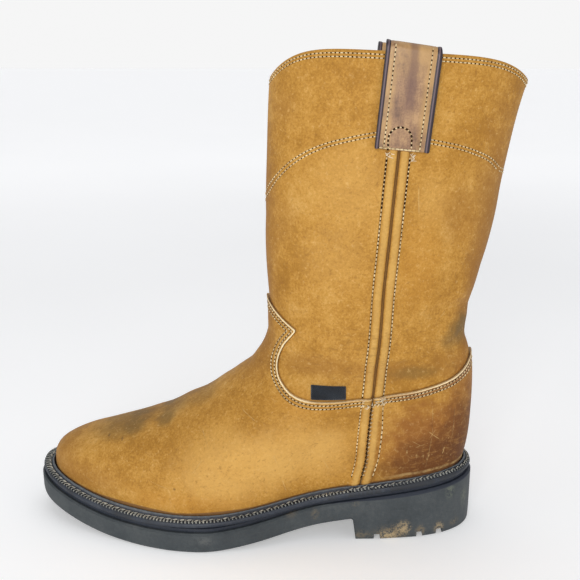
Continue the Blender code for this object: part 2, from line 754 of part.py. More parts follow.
def main():
    for item in list(bpy.data.objects):
        bpy.data.objects.remove(item, do_unlink=True)
    parts = bpy.data.collections.new("western_work_boot")
    cutters = bpy.data.collections.new("cutters")
    for collection in (parts, cutters):
        bpy.context.scene.collection.children.link(collection)
    rubber = material("grey_rubber", (0.085, 0.095, 0.092), 0.62)
    dark_rubber = material("dark_rubber", (0.020, 0.026, 0.038), 0.55)
    welt_rubber = material("welt_rubber", (0.045, 0.050, 0.056), 0.60)
    leather = material("tan_leather", (0.42, 0.225, 0.070), 0.62)
    strap_leather = material("strap_leather", (0.21, 0.110, 0.050), 0.50)
    footbed = material("footbed", (0.30, 0.22, 0.13), 0.80)
    cloth = material("black_cloth", (0.012, 0.016, 0.022), 0.75)
    make_outsole(parts, cutters, rubber)
    make_midsole(parts, dark_rubber)
    make_welt(parts, welt_rubber)
    make_insole(parts, footbed)
    make_upper(parts, leather)
    make_vamp(parts, cutters, leather)
    make_counter(parts, cutters, leather)
    make_pull_strap("pull_strap_outer", False, parts, strap_leather)
    make_pull_strap("pull_strap_inner", True, parts, strap_leather)
    make_label(parts, cloth)


main()
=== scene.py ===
import math
import random
from collections import namedtuple

import bmesh
import bpy
import numpy as np
from mathutils import Matrix, Vector
from mathutils.bvhtree import BVHTree


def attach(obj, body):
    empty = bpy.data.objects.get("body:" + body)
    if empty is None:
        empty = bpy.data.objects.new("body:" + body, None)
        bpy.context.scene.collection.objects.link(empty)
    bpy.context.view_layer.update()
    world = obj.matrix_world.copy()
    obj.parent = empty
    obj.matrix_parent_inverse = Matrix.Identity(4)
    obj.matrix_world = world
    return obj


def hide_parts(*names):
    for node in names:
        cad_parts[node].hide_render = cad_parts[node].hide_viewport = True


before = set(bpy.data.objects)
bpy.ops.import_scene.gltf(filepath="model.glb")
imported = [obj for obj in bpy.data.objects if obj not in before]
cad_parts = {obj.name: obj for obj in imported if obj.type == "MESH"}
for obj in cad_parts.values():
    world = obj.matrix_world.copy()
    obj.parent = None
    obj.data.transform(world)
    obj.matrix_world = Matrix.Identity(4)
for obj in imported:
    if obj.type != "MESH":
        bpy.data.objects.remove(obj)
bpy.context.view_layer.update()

# The studio: a camera at the photograph's angle, a pale floor that runs out to a pale room, a big
# soft light over the toe, a weaker one behind the heel and one from above.
scene = bpy.context.scene
scene.view_settings.view_transform = "Standard"
bpy.ops.object.camera_add(location=(-0.0617, -0.5459, 0.3178),
                          rotation=(math.radians(74.34), 0.0, math.radians(2.74)))
camera = bpy.context.object
camera.data.sensor_width = 36.0
camera.data.lens = 52.07
camera.data.clip_start = 0.01
scene.camera = camera


class Finish:
    """A socket of a material in the making. Sums on it add their maths nodes."""

    def __init__(self, tree, socket=None):
        self.tree = tree
        self.socket = socket

    def node(self, kind, settings=None, sockets=None, out=0):
        """Adds a node of a kind with its settings and its sockets' values or links."""
        made = self.tree.nodes.new(kind)
        for name, value in (settings or {}).items():
            if name == "stops":
                ramp = made.color_ramp
                while len(ramp.elements) < len(value):
                    ramp.elements.new(1.0)
                for element, (place, colour) in zip(ramp.elements, value):
                    element.position = place
                    element.color = (*colour, 1.0)
            else:
                setattr(made, name, value)
        for name, value in (sockets or {}).items():
            if isinstance(value, Finish):
                self.tree.links.new(value.socket, made.inputs[name])
            else:
                made.inputs[name].default_value = value
        return Finish(self.tree, made.outputs[out])

    def maths(self, operation, *values):
        return self.node("ShaderNodeMath", {"operation": operation}, dict(enumerate(values)))

    def __add__(self, other):
        return self.maths("ADD", self, other)

    def __sub__(self, other):
        return self.maths("SUBTRACT", self, other)

    def __mul__(self, other):
        return self.maths("MULTIPLY", self, other)

    def __abs__(self):
        return self.maths("ABSOLUTE", self)

    def __or__(self, other):
        return self.maths("MAXIMUM", self, other)

    def ease(self, low, high, start=0.0, end=1.0):
        """Eases from start, at low, to end, at high."""
        return self.node("ShaderNodeMapRange", {"interpolation_type": "SMOOTHSTEP"},
                         {"Value": self, "From Min": low, "From Max": high, "To Min": start, "To Max": end})

    def over(self, mask, colour):
        """This colour with another laid over it where the mask is 1."""
        top = colour if isinstance(colour, Finish) else (*colour, 1.0)
        return self.node("ShaderNodeMix", {"data_type": "RGBA"}, {0: mask, 6: self, 7: top}, out=2)

    def noise(self, size, detail=2.0, rough=0.5, stretch=(1.0, 1.0, 1.0)):
        """Cloudy noise on this place, in millimetres, with patches of a size."""
        place = self
        if stretch != (1.0, 1.0, 1.0):
            place = self.node("ShaderNodeVectorMath", {"operation": "MULTIPLY"}, {0: self, 1: stretch})
        return place.node("ShaderNodeTexNoise", None,
                          {"Vector": place, "Scale": 1.0 / size, "Detail": detail, "Roughness": rough})

    def ramp(self, *stops):
        """A colour from this value, through stops of a value and its colour."""
        return self.node("ShaderNodeValToRGB", {"stops": stops}, {0: self})

    def axis(self, name):
        return self.node("ShaderNodeSeparateXYZ", None, {0: self}, out=name)

    def stored(self, name):
        """The value of this name that the mesh keeps at its points."""
        return self.node("ShaderNodeAttribute", {"attribute_name": name}, out="Fac")

    def spot(self, centre, reach, edge):
        """1 inside an oval round a place, in millimetres, easing to 0 at its ragged edge."""
        off = self.node("ShaderNodeVectorMath", {"operation": "SUBTRACT"}, {0: self, 1: centre})
        share = off.node("ShaderNodeVectorMath", {"operation": "DIVIDE"}, {0: off, 1: reach})
        away = share.node("ShaderNodeVectorMath", {"operation": "LENGTH"}, {0: share}, out="Value")
        return (away + edge).ease(1.25, 0.35)


MM_PER_M = 1000.0


def new_material(name, roughness, specular=0.5, sheen=0.0):
    """A material, its shader, its place in millimetres and the place folded on to the outer side."""
    material = bpy.data.materials.new(name)
    material.use_nodes = True
    tree = material.node_tree
    shader = tree.nodes["Principled BSDF"]
    shader.inputs["Roughness"].default_value = roughness
    shader.inputs["Specular IOR Level"].default_value = specular
    shader.inputs["Sheen Weight"].default_value = sheen
    metres = Finish(tree).node("ShaderNodeTexCoord", out="Object")
    place = metres.node("ShaderNodeVectorMath", {"operation": "SCALE"}, {0: metres, "Scale": MM_PER_M})
    folded = place.node("ShaderNodeVectorMath", {"operation": "ABSOLUTE"}, {0: place})
    both = place.node("ShaderNodeCombineXYZ", None,
                      {"X": place.axis("X"), "Y": folded.axis("Y"), "Z": place.axis("Z")})
    return material, shader, place, both


def set_look(shader, colour, roughness=None, height=None, depth=0.0003):
    """Links a finished colour, roughness and height to the shader."""
    tree = colour.tree
    tree.links.new(colour.socket, shader.inputs["Base Color"])
    if roughness is not None:
        tree.links.new(roughness.socket, shader.inputs["Roughness"])
    if height is not None:
        bump = height.node("ShaderNodeBump", None, {"Strength": 1.0, "Distance": depth, "Height": height})
        tree.links.new(bump.socket, shader.inputs["Normal"])


bpy.ops.mesh.primitive_plane_add(size=40.0)
floor = bpy.context.object
floor.name = "floor"
floor_paint, floor_shader, floor_place, _ = new_material("floor_paint", 0.7, 0.2)
set_look(floor_shader, floor_place.noise(400.0).ramp((0.3, (0.86, 0.86, 0.85)), (0.7, (0.89, 0.89, 0.88))))
# The floor glows a little more with its distance, so that it runs out into the pale room.
floor_away = floor_place.node("ShaderNodeVectorMath", {"operation": "LENGTH"}, {0: floor_place}, out="Value")
floor_glow = floor_away.ease(450.0, 2200.0).ramp((0.0, (0.24, 0.24, 0.24)), (1.0, (0.46, 0.46, 0.46)))
floor_paint.node_tree.links.new(floor_glow.socket, floor_shader.inputs["Emission Color"])
floor_shader.inputs["Emission Strength"].default_value = 1.0
floor.data.materials.append(floor_paint)

room = bpy.data.worlds.new("pale_room")
room.use_nodes = True
sky = Finish(room.node_tree).node("ShaderNodeTexCoord", out="Generated")
sky_tone = sky.axis("Z").ramp((0.12, (1.0, 1.0, 1.0)), (0.40, (0.50, 0.51, 0.54)))
room.node_tree.links.new(sky_tone.socket, room.node_tree.nodes["Background"].inputs["Color"])
room.node_tree.nodes["Background"].inputs["Strength"].default_value = 0.92
scene.world = room
Light = namedtuple("Light", "name place size power")
LIGHTS = (
    Light("front_light", (-0.30, -1.55, 0.62), 0.7, 12.5),
    Light("heel_light", (0.95, -0.75, 0.75), 0.8, 0.8),
    Light("top_light", (-0.20, 0.30, 1.50), 1.2, 4.0),
)
LIT_PLACE = Vector((-0.1, 0.0, 0.12))
for light in LIGHTS:
    bpy.ops.object.light_add(type="AREA", location=light.place)
    lamp = bpy.context.object
    lamp.name = light.name
    lamp.data.size = light.size
    lamp.data.energy = light.power
    lamp.rotation_euler = (LIT_PLACE - Vector(light.place)).to_track_quat("-Z", "Y").to_euler()


# The upper: a shaft and foot of tan oiled nubuck, sewn to shape, with a raised double band down
# each side over the seam and a pale suede lining. It is sewn to the welt at its foot.
def pick(piece):
    """Leaves one piece selected and active."""
    bpy.ops.object.select_all(action="DESELECT")
    piece.select_set(True)
    bpy.context.view_layer.objects.active = piece


def apply_modifier(piece, kind, **settings):
    pick(piece)
    modifier = piece.modifiers.new(kind.title(), kind)
    for name, value in settings.items():
        setattr(modifier, name, value)
    bpy.ops.object.modifier_apply(modifier=modifier.name)


def mode(kind):
    bpy.ops.object.mode_set(mode=kind)


def copy_node(node, name):
    """A merged copy of a CAD node, its triangles joined back to four-sided fields."""
    pick(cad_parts[node])
    bpy.ops.object.duplicate()
    piece = bpy.context.object
    piece.name = piece.data.name = name
    mode("EDIT")
    bpy.ops.mesh.select_all(action="SELECT")
    bpy.ops.mesh.remove_doubles(threshold=0.00002)
    bpy.ops.mesh.customdata_custom_splitnormals_clear()
    bpy.ops.mesh.normals_make_consistent(inside=False)
    bpy.ops.mesh.tris_convert_to_quads(face_threshold=math.radians(50), shape_threshold=math.radians(80))
    bpy.ops.mesh.select_all(action="DESELECT")
    mode("OBJECT")
    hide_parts(node)
    return piece


def hold_edges(piece, degrees, hold):
    """Creases the edges that turn sharply, so that smoothing keeps them."""
    pick(piece)
    mode("EDIT")
    bpy.ops.mesh.select_mode(type="EDGE")
    bpy.ops.mesh.select_all(action="DESELECT")
    bpy.ops.mesh.edges_select_sharp(sharpness=math.radians(degrees))
    bpy.ops.transform.edge_crease(value=hold)
    bpy.ops.mesh.select_all(action="DESELECT")
    mode("OBJECT")


def points_of(mesh):
    places = np.empty(len(mesh.vertices) * 3)
    mesh.vertices.foreach_get("co", places)
    return places.reshape(-1, 3)


def normals_of(mesh):
    values = np.empty(len(mesh.vertices) * 3)
    mesh.vertex_normals.foreach_get("vector", values)
    return values.reshape(-1, 3)


def beside_line(points, line):
    """Distance of points from a line seen from the side, plus on its left and minus on its right."""
    best = np.full(len(points), 1e9)
    signed = np.zeros(len(points))
    spots = points[:, (0, 2)]
    for start, end in zip(line[:-1], line[1:]):
        start, step = np.array(start), np.array(end) - np.array(start)
        share = np.clip(((spots - start) @ step) / (step @ step), 0.0, 1.0)
        off = spots - start - share[:, None] * step
        away = np.hypot(off[:, 0], off[:, 1])
        side = np.sign(step[0] * off[:, 1] - step[1] * off[:, 0])
        nearer = away < best
        best[nearer] = away[nearer]
        signed[nearer] = (away * side)[nearer]
    return signed


def store(mesh, name, values):
    """Keeps a value at each point of a mesh, for its material to read."""
    layer = mesh.attributes.get(name) or mesh.attributes.new(name, "FLOAT", "POINT")
    layer.data.foreach_set("value", values.astype(np.float32))


upper = copy_node("upper", "leather_upper")
upper.data.materials.append(upper.data.materials[0])
hold_edges(upper, 62, 0.9)

# Slot 0 is the outside, found as the faces that join its two ends without a sharp turn, and the
# collar's rim. Slot 1 is the lining.
RIM_HEIGHT = 0.285
mode("EDIT")
bpy.ops.mesh.select_mode(type="FACE")
mode("OBJECT")
for end in (min, max):
    end(upper.data.polygons, key=lambda face: face.center.x).select = True
mode("EDIT")
bpy.ops.mesh.faces_select_linked_flat(sharpness=math.radians(76))
mode("OBJECT")
for face in upper.data.polygons:
    on_rim = face.center.z > RIM_HEIGHT and abs(face.normal.z) > 0.6
    face.material_index = 0 if face.select or on_rim else 1
bpy.ops.object.shade_smooth()
apply_modifier(upper, "SUBSURF", levels=2, render_levels=2)

# Creases, worn in above the ankle, round the bend of the foot and behind the heel. Each is a soft
# trough between two places seen from the side, in millimetres, with its depth and width. A minus
# depth is a swelling.
Crease = namedtuple("Crease", "x z to_x to_z depth width")
CREASES = [Crease(*row) for row in (
    (-98, 187, -72, 184, 0.45, 1.8), (-76, 185, -52, 183, 0.40, 1.6), (-95, 193, -66, 190, 0.35, 1.6),
    (-86, 178, -60, 177, 0.40, 1.8), (-74, 170, -48, 172, 0.35, 2.0), (-100, 176, -82, 171, 0.40, 2.0),
    (-66, 196, -44, 192, 0.30, 1.6), (-88, 202, -58, 199, 0.30, 2.2), (30, 160, 4, 157, 1.30, 5.0),
    (30, 137, 2, 129, 1.10, 6.0), (27, 148, -8, 146, 0.60, 5.0), (24, 126, -14, 119, 0.90, 6.5),
    (-92, 128, -55, 118, 0.90, 7.0), (-58, 118, -24, 117, 0.80, 6.0), (-98, 140, -104, 118, 0.80, 5.0),
    (-120, 118, -92, 100, 0.50, 6.0), (34, 190, 12, 178, 0.60, 7.0), (-96, 250, -70, 236, -0.50, 14.0),
    (10, 236, 34, 214, -0.60, 14.0), (-100, 212, -84, 220, 0.50, 8.0), (22, 228, 14, 206, 0.50, 6.0),
    (-176, 76, -160, 60, 0.45, 8.0), (-150, 92, -126, 66, 0.50, 9.0), (-30, 90, 8, 84, 0.40, 7.0),
)]
CREASE_STRENGTH = 1.5


def press_creases(mesh, outwards):
    """Moves the wall in along the troughs and out along the ridges beside them."""
    places = points_of(mesh)
    side = places[:, (0, 2)] * MM_PER_M
    push = np.zeros(len(places))
    for crease in CREASES:
        start = np.array((crease.x, crease.z), dtype=float)
        step = np.array((crease.to_x, crease.to_z)) - start
        share = ((side - start) @ step) / (step @ step)
        off = side - start - share[:, None] * step
        away = np.hypot(off[:, 0], off[:, 1]) / crease.width
        wobble = 0.35 * np.sin(side[:, 0] * 0.21 + crease.z) + 0.25 * np.sin(side[:, 0] * 0.47 + crease.x)
        fade = np.exp(-(np.maximum(np.abs(share - 0.5) - 0.35, 0.0) / 0.22) ** 2)
        trough = np.exp(-(away + wobble * 0.4) ** 2) - 0.35 * np.exp(-((away - 1.9) / 0.9) ** 2)
        push -= crease.depth * trough * fade
    places += outwards * (push * CREASE_STRENGTH / MM_PER_M)[:, None]
    mesh.vertices.foreach_set("co", places.reshape(-1))
    mesh.update()


lining_points = np.zeros(len(upper.data.vertices), dtype=bool)
for face in upper.data.polygons:
    if face.material_index == 1:
        lining_points[list(face.vertices)] = True
outwards = normals_of(upper.data)
outwards[lining_points] *= -1.0
press_creases(upper.data, outwards)

# Where the side seam, the front edge of the vamp and the top edge of the counter run, seen from
# the side, in metres.
SEAM_LINE = [(-0.0420, 0.020), (-0.0389, 0.0393), (-0.0373, 0.0470), (-0.0355, 0.0562), (-0.0348, 0.0652),
             (-0.0342, 0.0745), (-0.0336, 0.0835), (-0.0330, 0.0929), (-0.0320, 0.1040), (-0.0311, 0.1143),
             (-0.0302, 0.1256), (-0.0289, 0.1377), (-0.0280, 0.1525), (-0.0271, 0.1749), (-0.0249, 0.2047),
             (-0.0227, 0.2381), (-0.0203, 0.2716), (-0.0184, 0.2999), (-0.0165, 0.3300)]
VAMP_LINE = [(-0.1068, 0.1656), (-0.0996, 0.1572), (-0.0922, 0.1508), (-0.0854, 0.1462), (-0.0832, 0.1446),
             (-0.0854, 0.1410), (-0.0903, 0.1343), (-0.0940, 0.1262), (-0.0950, 0.1197), (-0.0931, 0.1132),
             (-0.0866, 0.1064), (-0.0767, 0.1029), (-0.0618, 0.1019), (-0.0323, 0.1029)]
COUNTER_LINE = [(-0.0323, 0.1029), (-0.0138, 0.1045), (-0.0020, 0.1061), (0.0101, 0.1087), (0.0210, 0.1119),
                (0.0287, 0.1161), (0.0337, 0.1213), (0.0374, 0.1278), (0.0436, 0.1333)]


def smooth_line(line, steps=6):
    """A smooth curve through the points of a line."""
    fine = []
    points = [np.array(point) for point in line]
    for index in range(len(points) - 1):
        before, start = points[max(index - 1, 0)], points[index]
        end, after = points[index + 1], points[min(index + 2, len(points) - 1)]
        for step in range(steps):
            share = step / steps
            bend = (2 * before - 5 * start + 4 * end - after) * share ** 2
            bend += (3 * start - before - 3 * end + after) * share ** 3
            fine.append(tuple(start + ((end - before) * share + bend) / 2))
    return fine + [tuple(points[-1])]


SEAM_LINE, VAMP_LINE, COUNTER_LINE = [smooth_line(line) for line in (SEAM_LINE, VAMP_LINE, COUNTER_LINE)]
BAND_BULGE, GROOVE_DEPTH = 0.0010, 0.0004
FOOT_LINE = [(-0.2800, 0.0365), (-0.2660, 0.0353), (-0.2215, 0.0264), (-0.1600, 0.0232), (-0.1100, 0.0267),
             (-0.0834, 0.0313), (-0.0408, 0.0388), (0.0092, 0.0447), (0.0391, 0.0474), (0.0600, 0.0490)]


def store_distances(mesh):
    """Keeps each point's distance from the side seam, the low edges and the welt, in millimetres."""
    for name, line in (("seam", SEAM_LINE), ("edge", VAMP_LINE + COUNTER_LINE[1:]), ("foot", FOOT_LINE)):
        store(mesh, name, beside_line(points_of(mesh), line) * MM_PER_M)


# Each side seam: a round band on either side of a narrow groove.
store_distances(upper.data)
off_seam = np.abs(beside_line(points_of(upper.data), SEAM_LINE)) * MM_PER_M
bulge = BAND_BULGE * np.clip(np.sin(np.pi * (off_seam - 0.6) / 5.9), 0.0, 1.0) * (off_seam < 6.5)
bulge -= GROOVE_DEPTH * np.exp(-(off_seam / 0.7) ** 2)
bulge[lining_points] = 0.0
places = points_of(upper.data) + outwards * bulge[:, None]
upper.data.vertices.foreach_set("co", places.reshape(-1))

# Oiled nubuck: worn paler on the proud parts, darker at the toe, under the collar and low on the
# heel, with grey smudges on the toe, rubbed marks, small scars, and dirt and painted shade along the
# stitching. Painted shade also darkens the shaft's front and rear edges, its creases and folds and
# the seam grooves; painted highlight lightens the raised bands and a strip above the welt.
Spot = namedtuple("Spot", "place reach strength colour")
OLIVE_SMUDGE_AND_SHADE, DARK_TAN_AND_SHADE, HEEL_BROWN = (0.165, 0.100, 0.030), (0.285, 0.125, 0.024), (0.105, 0.036, 0.010)
PALE_RUB, WARM_TAN, LIGHT_TAN = (0.72, 0.48, 0.19), (0.50, 0.235, 0.038), (0.70, 0.41, 0.115)
HEEL_RED = (0.255, 0.092, 0.020)


def spots_in(table):
    """Spots from rows of a place, a reach and a strength, in groups of one colour."""
    return [Spot(row[:3], row[3:6], row[6], colour) for colour, rows in table for row in rows]


SPOTS = spots_in((
    (LIGHT_TAN, (
        (-122, 50, 56, 44, 34, 28, 0.52), (-82, 44, 68, 34, 30, 24, 0.46),
        (-140, 50, 44, 22, 20, 12, 0.25), (-60, 40, 62, 18, 20, 22, 0.30))),
    (OLIVE_SMUDGE_AND_SHADE, (
        (-206, 5, 66, 27, 20, 12, 0.55), (-196, 10, 68, 10, 12, 7, 0.45),
        (-173, 14, 76, 9, 10, 7, 0.62), (-169, 4, 81, 20, 14, 10, 0.42),
        (-190, 0, 76, 52, 12, 10, 0.26), (-148, 6, 92, 16, 14, 9, 0.34))),
    (DARK_TAN_AND_SHADE, ((-250, 8, 40, 22, 42, 24, 0.50), (-225, 30, 36, 32, 22, 12, 0.40))),
    (WARM_TAN, ((-160, 50, 30, 46, 16, 9, 0.40), (-75, 40, 100, 30, 18, 8, 0.35))),
    # Mostly painted shade: along the shaft's front and rear edges, where it turns from the light, and over
    # the creases above the vamp and counter.
    (DARK_TAN_AND_SHADE, (
        (-70, 36, 124, 34, 20, 8, 0.50), (-22, 36, 120, 26, 16, 8, 0.50),
        (20, 22, 122, 22, 26, 10, 0.45), (32, 10, 146, 14, 28, 20, 0.60),
        (-112, 8, 122, 14, 26, 22, 0.40), (-104, 10, 200, 10, 26, 96, 0.55),
        (-93, 34, 215, 12, 18, 22, 0.40), (19, 34, 222, 15, 18, 26, 0.45),
        (40, 12, 200, 17, 32, 110, 0.74), (-93, 30, 288, 12, 20, 12, 0.35))),
    (LIGHT_TAN, (
        (-50, 40, 240, 26, 20, 30, 0.28), (0, 40, 232, 12, 18, 20, 0.25),
        (-62, 40, 196, 26, 20, 24, 0.24))),
    (WARM_TAN, ((-5, 40, 190, 20, 20, 34, 0.35),)),
    (HEEL_RED, (
        (4, 28, 62, 42, 36, 36, 0.62), (8, 28, 64, 34, 32, 34, 0.72), (32, 12, 88, 24, 34, 42, 0.62))),
    (HEEL_BROWN, (
        (14, 24, 54, 36, 32, 20, 0.74), (34, 10, 66, 26, 36, 38, 0.70), (-12, 33, 48, 28, 22, 10, 0.50),
        (10, 30, 58, 30, 34, 26, 0.36))),
    # Painted shade: the dark fold shadows at the back notch above the counter and a crease shadow across the
    # ankle.
    (OLIVE_SMUDGE_AND_SHADE, (
        (29, 16, 144, 12, 24, 12, 0.85), (21, 22, 137, 11, 18, 8, 0.50), (-4, 34, 118, 20, 16, 5, 0.50))),
))
Mark = namedtuple("Mark", "x z to_x to_z width strength")
SCRATCHES = [Mark(*row) for row in (
    (8, 94, 9, 74, 0.45, 0.20), (9, 74, 5, 50, 0.45, 0.20), (6, 76, 14, 70, 0.45, 0.36),
    (11, 77, 7, 71, 0.40, 0.26), (-8, 66, -8, 61, 0.55, 0.75), (-5, 70, 1, 66, 0.35, 0.30),
    (18, 63, 17, 58, 0.45, 0.45), (-2, 65, 4, 67, 0.35, 0.30), (24, 92, 23, 70, 0.50, 0.10),
    (19, 184, 20, 176, 0.5, 0.20), (-8, 242, -7, 224, 0.6, 0.35), (-118, 93, -108, 88, 0.45, 0.30),
    (-96, 66, -94, 59, 0.40, 0.30), (-145, 78, -139, 68, 0.40, 0.30), (-64, 58, -60, 50, 0.45, 0.30),
    (-91, 45, -88, 36, 0.45, 0.35), (-150, 52, -143, 62, 0.40, 0.25), (8, 150, 14, 158, 0.5, 0.30),
    (-230, 38, -222, 34, 0.40, 0.25), (-180, 44, -166, 40, 0.40, 0.25),
)]
SCARS = ((-203, 20, 62), (-214, 13, 61), (-162, 51, 41), (-152, 6, 104), (-190, 40, 42), (-140, 46, 62),
         (-86, 40, 170), (-10, 38, 168), (22, 30, 180), (-62, 42, 222))


def tan_leather(name, rows, raw=False):
    """Nubuck with a trough, and dirt and painted shade in it, along each stitched row: a stored value, a
    distance and a width.
    """
    material, shader, place, both = new_material(name, 0.6, 0.13, 0.03)
    cloud = place.noise(42.0, 3.0, 0.55)
    mottle = place.noise(9.0, 5.0, 0.62)
    grain = place.noise(1.5, 3.0, 0.7)
    drift = place.noise(16.0, 3.0, 0.6, (1.0, 1.0, 0.45))
    ragged = (mottle - 0.5) * 0.9
    tone = cloud * 0.30 + mottle * 0.24 + drift * 0.14 + grain * 0.32
    colour = tone.ramp((0.34, (0.275, 0.122, 0.016)), (0.45, (0.365, 0.172, 0.026)),
                       (0.50, (0.430, 0.212, 0.036)), (0.55, (0.490, 0.254, 0.050)),
                       (0.66, (0.590, 0.340, 0.095)))
    for spot in SPOTS:
        colour = colour.over(both.spot(spot.place, spot.reach, ragged) * spot.strength, spot.colour)
    x, z = both.axis("X"), both.axis("Z")
    dents = None
    for mark in SCRATCHES:
        length = math.hypot(mark.to_x - mark.x, mark.to_z - mark.z)
        along_x, along_z = (mark.to_x - mark.x) / length, (mark.to_z - mark.z) / length
        off_x, off_z = x - (mark.x + mark.to_x) / 2, z - (mark.z + mark.to_z) / 2
        across = abs(off_x * along_z - off_z * along_x + (drift - 0.5) * 2.0)
        ends = abs(off_x * along_x + off_z * along_z)
        line = across.ease(mark.width, mark.width * 0.3) * ends.ease(length * 0.55, length * 0.35)
        colour = colour.over(line * (mottle.ease(0.35, 0.55) * mark.strength), PALE_RUB)
        dents = line if dents is None else dents | line
    for scar in SCARS:
        pit = both.spot(scar, (1.1, 3.0, 1.1), (grain - 0.5) * 0.8)
        colour = colour.over(pit * 0.55, (0.09, 0.042, 0.016))
        dents = dents | pit
    pores = place.node("ShaderNodeTexVoronoi", None, {"Vector": place, "Scale": 0.9}, out="Distance")
    colour = colour.over(pores.ease(0.28, 0.05) * mottle.ease(0.45, 0.62) * 0.35, (0.28, 0.135, 0.036))
    flecks = place.noise(2.6, 4.0, 0.75)
    colour = colour.over(flecks.ease(0.55, 0.74) * 0.38, PALE_RUB)
    colour = colour.over(flecks.ease(0.46, 0.30) * 0.50, (0.24, 0.105, 0.022))
    web = place.node("ShaderNodeTexVoronoi", {"feature": "DISTANCE_TO_EDGE"}, {
        "Vector": place, "Scale": 0.20}, out="Distance")
    lines = web.ease(0.07, 0.01) * mottle.ease(0.48, 0.66)
    colour = colour.over(lines * 0.13, PALE_RUB)
    foot = place.stored("foot")
    # Painted shade along the join with the welt, and a painted highlight in a strip just above it towards the
    # heel.
    colour = colour.over(foot.ease(1.1, 0.2) * 0.75, (0.13, 0.065, 0.035))
    lit = abs(foot - 2.6 + (drift - 0.5) * 3.0).ease(1.5, 0.3) * x.ease(-34.0, 0.0)
    colour = colour.over(lit * (mottle.ease(0.36, 0.58) * 0.40), (0.66, 0.47, 0.20))
    off_seam = abs(place.stored("seam"))
    # Painted highlight on the crown of each raised band beside the side seam, and painted shade in the groove
    # between them.
    band = off_seam.ease(0.9, 2.6) * off_seam.ease(6.3, 4.4)
    colour = colour.over(band * 0.42, (0.67, 0.42, 0.13))
    colour = colour.over(off_seam.ease(1.4, 0.2) * 0.74, (0.120, 0.055, 0.015))
    wrinkle = place.noise(3.4, 3.0, 0.6, (0.45, 0.45, 1.5))
    # Painted shade in the wrinkle troughs around the ankle.
    fold_shade = wrinkle.ease(0.47, 0.34) * z.ease(104.0, 120.0) * z.ease(168.0, 140.0)
    colour = colour.over(fold_shade * 0.34, (0.24, 0.110, 0.022))
    if raw:
        streaks = wrinkle.ease(0.52, 0.66) * x.ease(-26.0, -12.0)
        colour = colour.over(streaks * 0.24, (0.460, 0.235, 0.065))
        edge = place.stored("edge")
        stain = abs(edge + 2.6).ease(3.2, 1.4) * x.ease(-30.0, -8.0)
        colour = colour.over(stain * 0.50, (0.230, 0.100, 0.055))
        share = (x.ease(-22.0, 20.0) | x.ease(-66.0, -82.0)) * 0.62 + 0.30
        worn = abs(edge + 0.1 + (grain - 0.5) * 1.2).ease(0.95, 0.45)
        colour = colour.over(worn * share, (0.88, 0.74, 0.46))
    dip = dents * 0.4
    for attribute, distance, width in rows:
        # Dirt and painted shade in each stitched row's trough.
        trough = abs(place.stored(attribute) - distance).ease(width, width * 0.2)
        colour = colour.over(trough * (mottle.ease(0.30, 0.60) * 0.55), (0.20, 0.10, 0.032))
        dip = dip + trough * 0.9
    height = grain * 0.30 + mottle * 0.55 + wrinkle * 0.5 + pores * 0.15 - dip
    set_look(shader, colour, mottle * 0.22 + grain * 0.12 + 0.46, height, 0.00045)
    return material


def suede_lining():
    material, shader, place, _ = new_material("suede_lining", 0.85, 0.2, 0.2)
    nap = place.noise(3.0, 5.0, 0.7)
    cloud = place.noise(30.0, 3.0)
    tone = nap * 0.5 + cloud * 0.5
    colour = tone.ramp((0.35, (0.23, 0.135, 0.060)), (0.50, (0.34, 0.215, 0.105)),
                       (0.66, (0.45, 0.300, 0.160)))
    set_look(shader, colour, None, nap, 0.0004)
    return material


upper.data.materials[0] = tan_leather("oiled_nubuck_shaft", (
    ("seam", 0.0, 1.0), ("seam", 6.9, 0.9), ("seam", -6.9, 0.9), ("edge", 0.0, 1.2)))
upper.data.materials[1] = suede_lining()
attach(upper, "root")


# The vamp and the counter: the same nubuck, lapped over the shaft round the foot and the heel,
# with a raw cut edge that shows the pale core of the hide. Two rows of thread hold each edge.
PATTERN_REACH, LEATHER_THICK, LAP_GAP = 0.12, 0.0015, 0.0003


def outline_prism(name, outline):
    """A solid wider than the boot, over an outline seen from the side."""
    bpy.ops.mesh.primitive_plane_add(size=0.01)
    cutter = bpy.context.object
    cutter.name = name
    shape = bmesh.new()
    corners = [shape.verts.new((x, -PATTERN_REACH, z)) for x, z in outline]
    face = shape.faces.new(corners)
    swept = bmesh.ops.extrude_face_region(shape, geom=[face])["geom"]
    moved = [item for item in swept if isinstance(item, bmesh.types.BMVert)]
    bmesh.ops.translate(shape, vec=(0.0, 2 * PATTERN_REACH, 0.0), verts=moved)
    bmesh.ops.recalc_face_normals(shape, faces=shape.faces)
    shape.to_mesh(cutter.data)
    shape.free()
    return cutter


def take_materials(piece, materials, index):
    """Gives a piece these materials, and all its faces the one with this index."""
    piece.data.materials.clear()
    for material in materials:
        piece.data.materials.append(material)
    for face in piece.data.polygons:
        face.material_index = index


